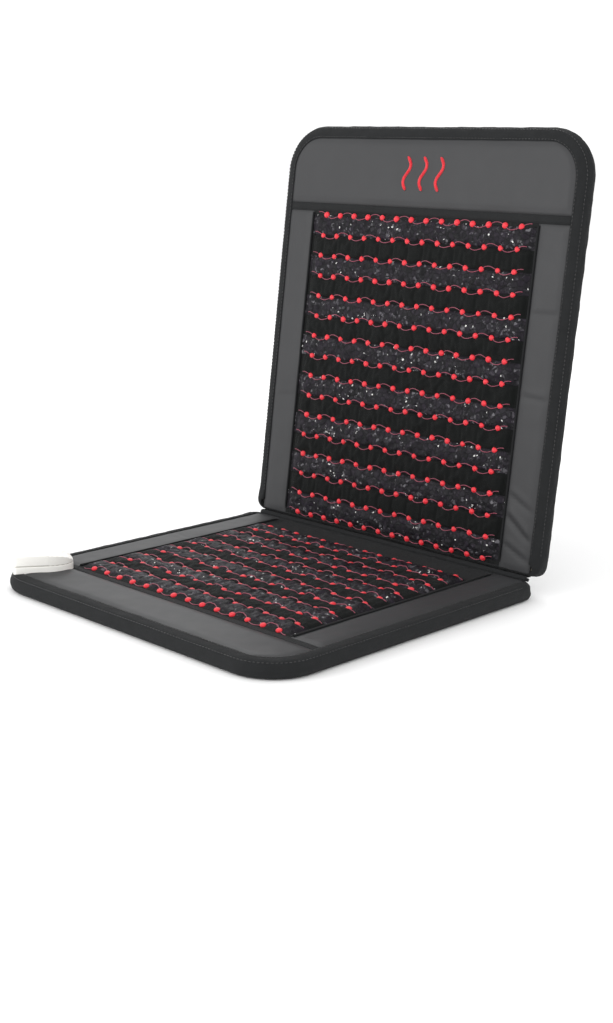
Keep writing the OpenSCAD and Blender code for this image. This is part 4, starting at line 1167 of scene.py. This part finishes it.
# Three waves in satin stitch: one thread that runs from edge to edge of each wave
def makeEmblem():
    low, high = back.span("emblem")
    middle = (low[1] + high[1]) / 2
    tall = (high[1] - low[1]) / 2
    ground = covers["back_endCover"].reshape(-1, 3)
    paths = []
    for i in range(emblem["waves"]):
        centre = (low[0] + high[0]) / 2 + (i - (emblem["waves"] - 1) / 2) * emblem["pitch"]
        steps = int(2 * tall / emblem["lay"])
        path = []
        for k in range(steps + 1):
            t = -1 + 2 * k / steps
            x, v = centre + emblem["swing"] * math.sin(math.pi * t), middle + t * tall
            slope = emblem["swing"] * math.pi * math.cos(math.pi * t) / tall
            side = np.array((1, -slope)) / math.hypot(1, slope)
            full = emblem["width"] / 2 * min(1, 0.45 + 6 * (1 - abs(t)))
            nearest = ground[np.argmin(np.hypot(ground[:, 0] - x, ground[:, 1] - v))][2]
            order = (-1, -0.6, 0, 0.6, 1) if k % 2 else (1, 0.6, 0, -0.6, -1)
            for u in order:
                w = nearest + 0.15 * mm + emblem["rise"] * (1 - u * u) ** 0.5
                path.append((x + side[0] * full * u, v + side[1] * full * u, w))
        paths.append(back.toRow(np.array(path)))
    grow("back_emblemThread", curveSource("emblemThread", paths), "thread", {"Radius": emblem["thread"]},
         "red", "back", ["back_emblem"])


makeEmblem()
print("emblem made")


webbing = {"thick": 1.8 * mm, "bar": 2.3 * mm, "bend": 9 * mm, "dip": 9 * mm, "wrap": 6 * mm,
           "overlap": 5 * mm, "foot": 34 * mm, "slope": 46 * mm, "patch": 0.8 * mm, "patchInset": 2 * mm,
           "hem": 3 * mm, "stitch": 0.9 * mm, "stitchPitch": 3.4 * mm, "stitchLength": 2.6 * mm}


# Rounds the corners of a flat path and spaces its points evenly
def roundPath(corners, bend, step):
    corners = np.array(corners, float)
    points = [corners[0]]
    for before, here, after in zip(corners, corners[1:], corners[2:]):
        reach = min(bend, np.linalg.norm(here - before) * 0.45, np.linalg.norm(after - here) * 0.45)
        a = here + (before - here) / np.linalg.norm(before - here) * reach
        b = here + (after - here) / np.linalg.norm(after - here) * reach
        points += [(1 - t) ** 2 * a + 2 * t * (1 - t) * here + t * t * b for t in np.linspace(0, 1, 9)]
    points.append(corners[-1])
    points = np.array(points)
    run = lengthsAlong(points)
    at = np.linspace(0, run[-1], int(run[-1] / step) + 1)
    return np.column_stack([np.interp(at, run, points[:, k]) for k in (0, 1)])


# One strap: sewn foot, slope, level run, a turn round its bar and a short sewn end
def makeStrap(level, side, sign):
    node = f"{level}_strap_{side}"
    low, high = back.span(node)
    thick = webbing["thick"]
    turn = webbing["bar"] + thick / 2
    outer = max(abs(low[0]), abs(high[0]))
    bar = (low[0] if sign > 0 else high[0]) + sign * (turn + thick / 2)
    drop = low[2] + turn + thick / 2
    footEnd = sign * outer
    kink = sign * (outer - webbing["foot"])
    levelStart = sign * (outer - webbing["foot"] - webbing["slope"])
    corners = [(footEnd, -thick / 2), (kink, -thick / 2), (levelStart, drop),
               (bar + sign * webbing["dip"], drop),
               (bar + sign * 3 * mm, drop - turn)]
    path = list(roundPath(corners, webbing["bend"], 2 * mm))
    for k in range(1, 12):
        angle = math.pi * (-0.5 - k / 12)
        path.append(np.array((bar + sign * turn * math.cos(angle), drop + turn * math.sin(angle))))
    sewn = [(bar + sign * 1 * mm, drop + turn), (bar + sign * webbing["wrap"], drop + thick * 1.3),
            (bar + sign * (webbing["wrap"] + webbing["overlap"]), drop + thick * 1.05)]
    path += list(roundPath(sewn, 4 * mm, 2 * mm))
    path = np.array(path)
    along = np.gradient(path, axis=0)
    along /= np.linalg.norm(along, axis=1, keepdims=True)
    middle = (low[1] + high[1]) / 2
    places = back.toRow(np.column_stack((path[:, 0], np.full(len(path), middle), path[:, 1])))
    beside = (path[:, 0] - along[:, 1], np.full(len(path), middle), path[:, 1] + along[:, 0])
    tips = back.toRow(np.column_stack(beside))
    up = tips - places
    acrossAxis = back.toRow((0, 1, 0)) - back.toRow((0, 0, 0))
    across = np.tile(acrossAxis, (len(path), 1))
    half, edge = (high[1] - low[1]) / 2, thick / 2
    upper = [(-half + 0.6 * mm + (2 * half - 1.2 * mm) * t, edge) for t in np.linspace(0, 1, 13)]
    section = upper + [(half, 0.35 * edge), (half, -0.35 * edge)] + [(a, -b) for a, b in reversed(upper)]
    section += [(-half, -0.35 * edge), (-half, 0.35 * edge)]
    sweep(f"{node}Webbing", places, across, up, np.array(section), "webbing", "back", [node])
    return sign * (outer - webbing["foot"] / 2), middle, half


def makeStraps():
    feet = [makeStrap(level, side, sign) for level in ("upper", "lower")
            for side, sign in (("left", -1), ("right", 1))]
    shells, lines = [], []
    bottom = -webbing["thick"]
    for x, v, half in feet:
        a, b = webbing["foot"] / 2 - webbing["patchInset"], half - webbing["patchInset"]
        X, V = np.meshgrid(np.linspace(x - a, x + a, 20), np.linspace(v - b, v + b, 22))
        near = np.minimum(a - np.abs(X - x), b - np.abs(V - v))
        W = bottom - 0.25 * mm - webbing["patch"] * ease(near / (1.6 * mm))
        W -= 0.1 * mm * waver(X, V, 8 * mm, 77)
        shells.append(closedShell(np.stack((X, V, W), -1), bottom + 0.3 * mm, flip=True))
        a, b, w = a - webbing["hem"], b - webbing["hem"], bottom - webbing["patch"] - 0.35 * mm
        box = [(x - a, v - b, w), (x + a, v - b, w), (x + a, v + b, w), (x - a, v + b, w), (x - a, v - b, w)]
        cross = [[(x - a, v - b, w), (x + a, v + b, w)], [(x - a, v + b, w), (x + a, v - b, w)]]
        lines += [back.toRow(line) for line in (box, *cross)]
    points, faces = joined(shells)
    addPiece("strapPatches", back.toRow(points), faces, finishes["webbing"], "back",
             ["strap_patches"], uv=points[:, :2] + 0.5)
    grow("strapPatchStitches", curveSource("patchStitches", lines), "stitches",
         {"Pitch": webbing["stitchPitch"], "Length": webbing["stitchLength"], "Width": webbing["stitch"]},
         "greyThread", "back")


makeStraps()
print("straps made")


mergeReach = 0.002 * mm


# Rounds the edges of CAD nodes: remeshed in their own directions, then smoothed
def soften(node, name, turn, voxel, rounds, material, body, shape=None):
    mesh = nodes[node].data.copy()
    mesh.materials.clear()
    if "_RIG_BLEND" in mesh.attributes:
        mesh.attributes.remove(mesh.attributes["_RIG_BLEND"])
    merged = bmesh.new()
    merged.from_mesh(mesh)
    bmesh.ops.remove_doubles(merged, verts=merged.verts, dist=mergeReach)
    merged.to_mesh(mesh)
    merged.free()
    mesh.transform(turn.inverted())
    carrier = bpy.data.objects.new(name + "Source", mesh)
    bpy.context.scene.collection.objects.link(carrier)
    remesh = carrier.modifiers.new("remesh", "REMESH")
    remesh.mode = "VOXEL"
    remesh.voxel_size = voxel
    remesh.use_smooth_shade = True
    smooth = carrier.modifiers.new("smooth", "SMOOTH")
    smooth.factor = 0.5
    smooth.iterations = rounds
    bpy.context.view_layer.update()
    result = bpy.data.meshes.new_from_object(carrier.evaluated_get(bpy.context.evaluated_depsgraph_get()))
    bpy.data.objects.remove(carrier)
    result.name = name
    if shape:
        places = np.empty(len(result.vertices) * 3)
        result.vertices.foreach_get("co", places)
        places = shape(places.reshape(-1, 3))
        result.vertices.foreach_set("co", places.ravel())
    result.transform(turn)
    result.materials.append(finishes[material])
    return keepPiece(name, result, body, [node])


housing = {"turn": 35, "voxel": 0.55 * mm, "rounds": 7, "noseAt": 0.586, "step": 0.55 * mm,
           "ridge": 0.25 * mm, "ridgePitch": 5.5 * mm, "flank": 6 * mm}


# The two ivory shells, with a step where the nose begins and low grip waves along it
def makeHousing():
    base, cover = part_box("connector_base"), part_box("connector_cover")
    centre = Vector(((base[0][0] + base[1][0]) / 2, (base[0][1] + base[1][1]) / 2, base[0][2]))
    turn = Matrix.Translation(centre) @ Matrix.Rotation(math.radians(90 - housing["turn"]), 4, "Z")
    local = [turn.inverted() @ Vector(v.co) for v in nodes["connector_cover"].data.vertices]
    start, end = min(p.x for p in local), max(p.x for p in local)
    top = cover[1][2] - base[0][2]
    nose = start + (end - start) * housing["noseAt"]

    def dress(points):
        past = ease((points[:, 0] - nose) / (0.7 * mm))
        skin = ease((points[:, 2] - 0.35 * top) / (2 * mm))
        fromTip = np.hypot(points[:, 0] - end, points[:, 1] * 0.8)
        wave = np.cos(2 * math.pi * fromTip / housing["ridgePitch"])
        ridges = housing["ridge"] * wave * ease((points[:, 0] - nose) / housing["flank"])
        inward = past * skin * (housing["step"] + ridges)
        out = points.copy()
        out[:, 2] -= inward * (points[:, 2] > 0.4 * top)
        flank = np.sign(points[:, 1]) * (np.abs(points[:, 1]) > housing["flank"])
        out[:, 1] -= 0.5 * flank * past * skin * housing["step"]
        return out
    soften("connector_base", "connectorBaseShell", turn, housing["voxel"], housing["rounds"], "ivory",
           "seat")
    soften("connector_cover", "connectorCoverShell", turn, housing["voxel"], housing["rounds"], "ivory",
           "seat", dress)


makeHousing()
print("housing made")


buckle = {"voxel": 0.5 * mm, "rounds": 5, "rib": 0.35 * mm, "ribPitch": 2.2 * mm}


# The buckles' and adjusters' moulded edges, with grip ribs across the plates
def makeBuckles():
    origin = back.toRow((0.0, 0.0, 0.0))
    sides = [Vector(back.toRow(axis) - origin) for axis in np.eye(3)]
    turn = Matrix.Translation(Vector(origin)) @ Matrix(sides).transposed().to_4x4()
    for level in ("upper", "lower"):
        for word in ("buckle_socket", "buckle_plug", "strap_adjuster", "prong_high", "prong_low"):
            node = f"{level}_{word}"
            body = "back" if "buckle" in word else node
            low, high = back.span(node)

            def ribbed(points, low=low, high=high):
                out = points.copy()
                across = (points[:, 1] - (low[1] + high[1]) / 2) / ((high[1] - low[1]) / 2)
                rib = np.cos(2 * math.pi * points[:, 0] / buckle["ribPitch"]) > 0.2
                facing = np.abs(points[:, 2] - (low[2] + high[2]) / 2) > (high[2] - low[2]) / 2 - 0.4 * mm
                middle = (np.abs(across) < 0.45) & facing & rib
                out[:, 2] -= np.sign(points[:, 2] - (low[2] + high[2]) / 2) * buckle["rib"] * middle
                return out
            soften(node, f"{node}Moulding", turn, buckle["voxel"], buckle["rounds"], "blackPlastic",
                   body, ribbed if body == "back" else None)


makeBuckles()
print("buckles made")


# CAD nodes that stay keep their shape and get their finish
carried = {"heater_felt": "felt", "heating_wire": "wireSheath", "thermal_cutout": "ivory",
           "lead": "lead", "crystal_fill": "stone"}
for panel in (seat, back):
    for word, finish in carried.items():
        nodes[f"{panel.name}_{word}"].data.materials.clear()
        nodes[f"{panel.name}_{word}"].data.materials.append(finishes[finish])
single = {"connector_gasket": "seal", "connector_socket": "blackPlastic", "connector_pins": "brass",
          "connector_board": "board", "connector_screws": "steel"}
for name, finish in single.items():
    nodes[name].data.materials.clear()
    nodes[name].data.materials.append(finishes[finish])


def addLight(name, place, aim, size, power, colour=(1, 1, 1)):
    data = bpy.data.lights.new(name, "AREA")
    data.shape = "RECTANGLE"
    data.size, data.size_y = size
    data.energy = power
    data.color = colour
    light = bpy.data.objects.new(name, data)
    light.location = place
    light.rotation_euler = (Vector(aim) - Vector(place)).to_track_quat("-Z", "Y").to_euler()
    bpy.context.scene.collection.objects.link(light)


def makeStudio():
    world = bpy.data.worlds.new("studio")
    world.use_nodes = True
    world.node_tree.nodes["Background"].inputs["Color"].default_value = (1, 1, 1, 1)
    world.node_tree.nodes["Background"].inputs["Strength"].default_value = 1.1
    bpy.context.scene.world = world
    bpy.context.scene.view_settings.view_transform = "Standard"
    addLight("key", (-1.5, -2.8, 1.1), (-0.1, 0, 0.2), (1.8, 1.4), 50)
    addLight("fill", (2.6, -0.6, 1.6), (0, 0.1, 0.3), (2.0, 2.0), 14)
    addLight("rim", (-1.8, 1.6, 1.9), (0, 0.1, 0.2), (1.4, 1.4), 18)
    floorMesh = bpy.data.meshes.new("floor")
    size = 40
    floorMesh.from_pydata([(-size, -size, -0.001), (size, -size, -0.001), (size, size, -0.001),
                           (-size, size, -0.001)], [], [(0, 1, 2, 3)])
    f = Finish("floor", (0.93, 0.93, 0.93), 0.7, Specular_IOR_Level=0.2)
    f.put("Base Color", f.mix(f.noise(3.0), (0.92, 0.92, 0.92), (0.95, 0.95, 0.95)))
    floorMesh.materials.append(f.material)
    floor = bpy.data.objects.new("floor", floorMesh)
    bpy.context.scene.collection.objects.link(floor)


makeStudio()
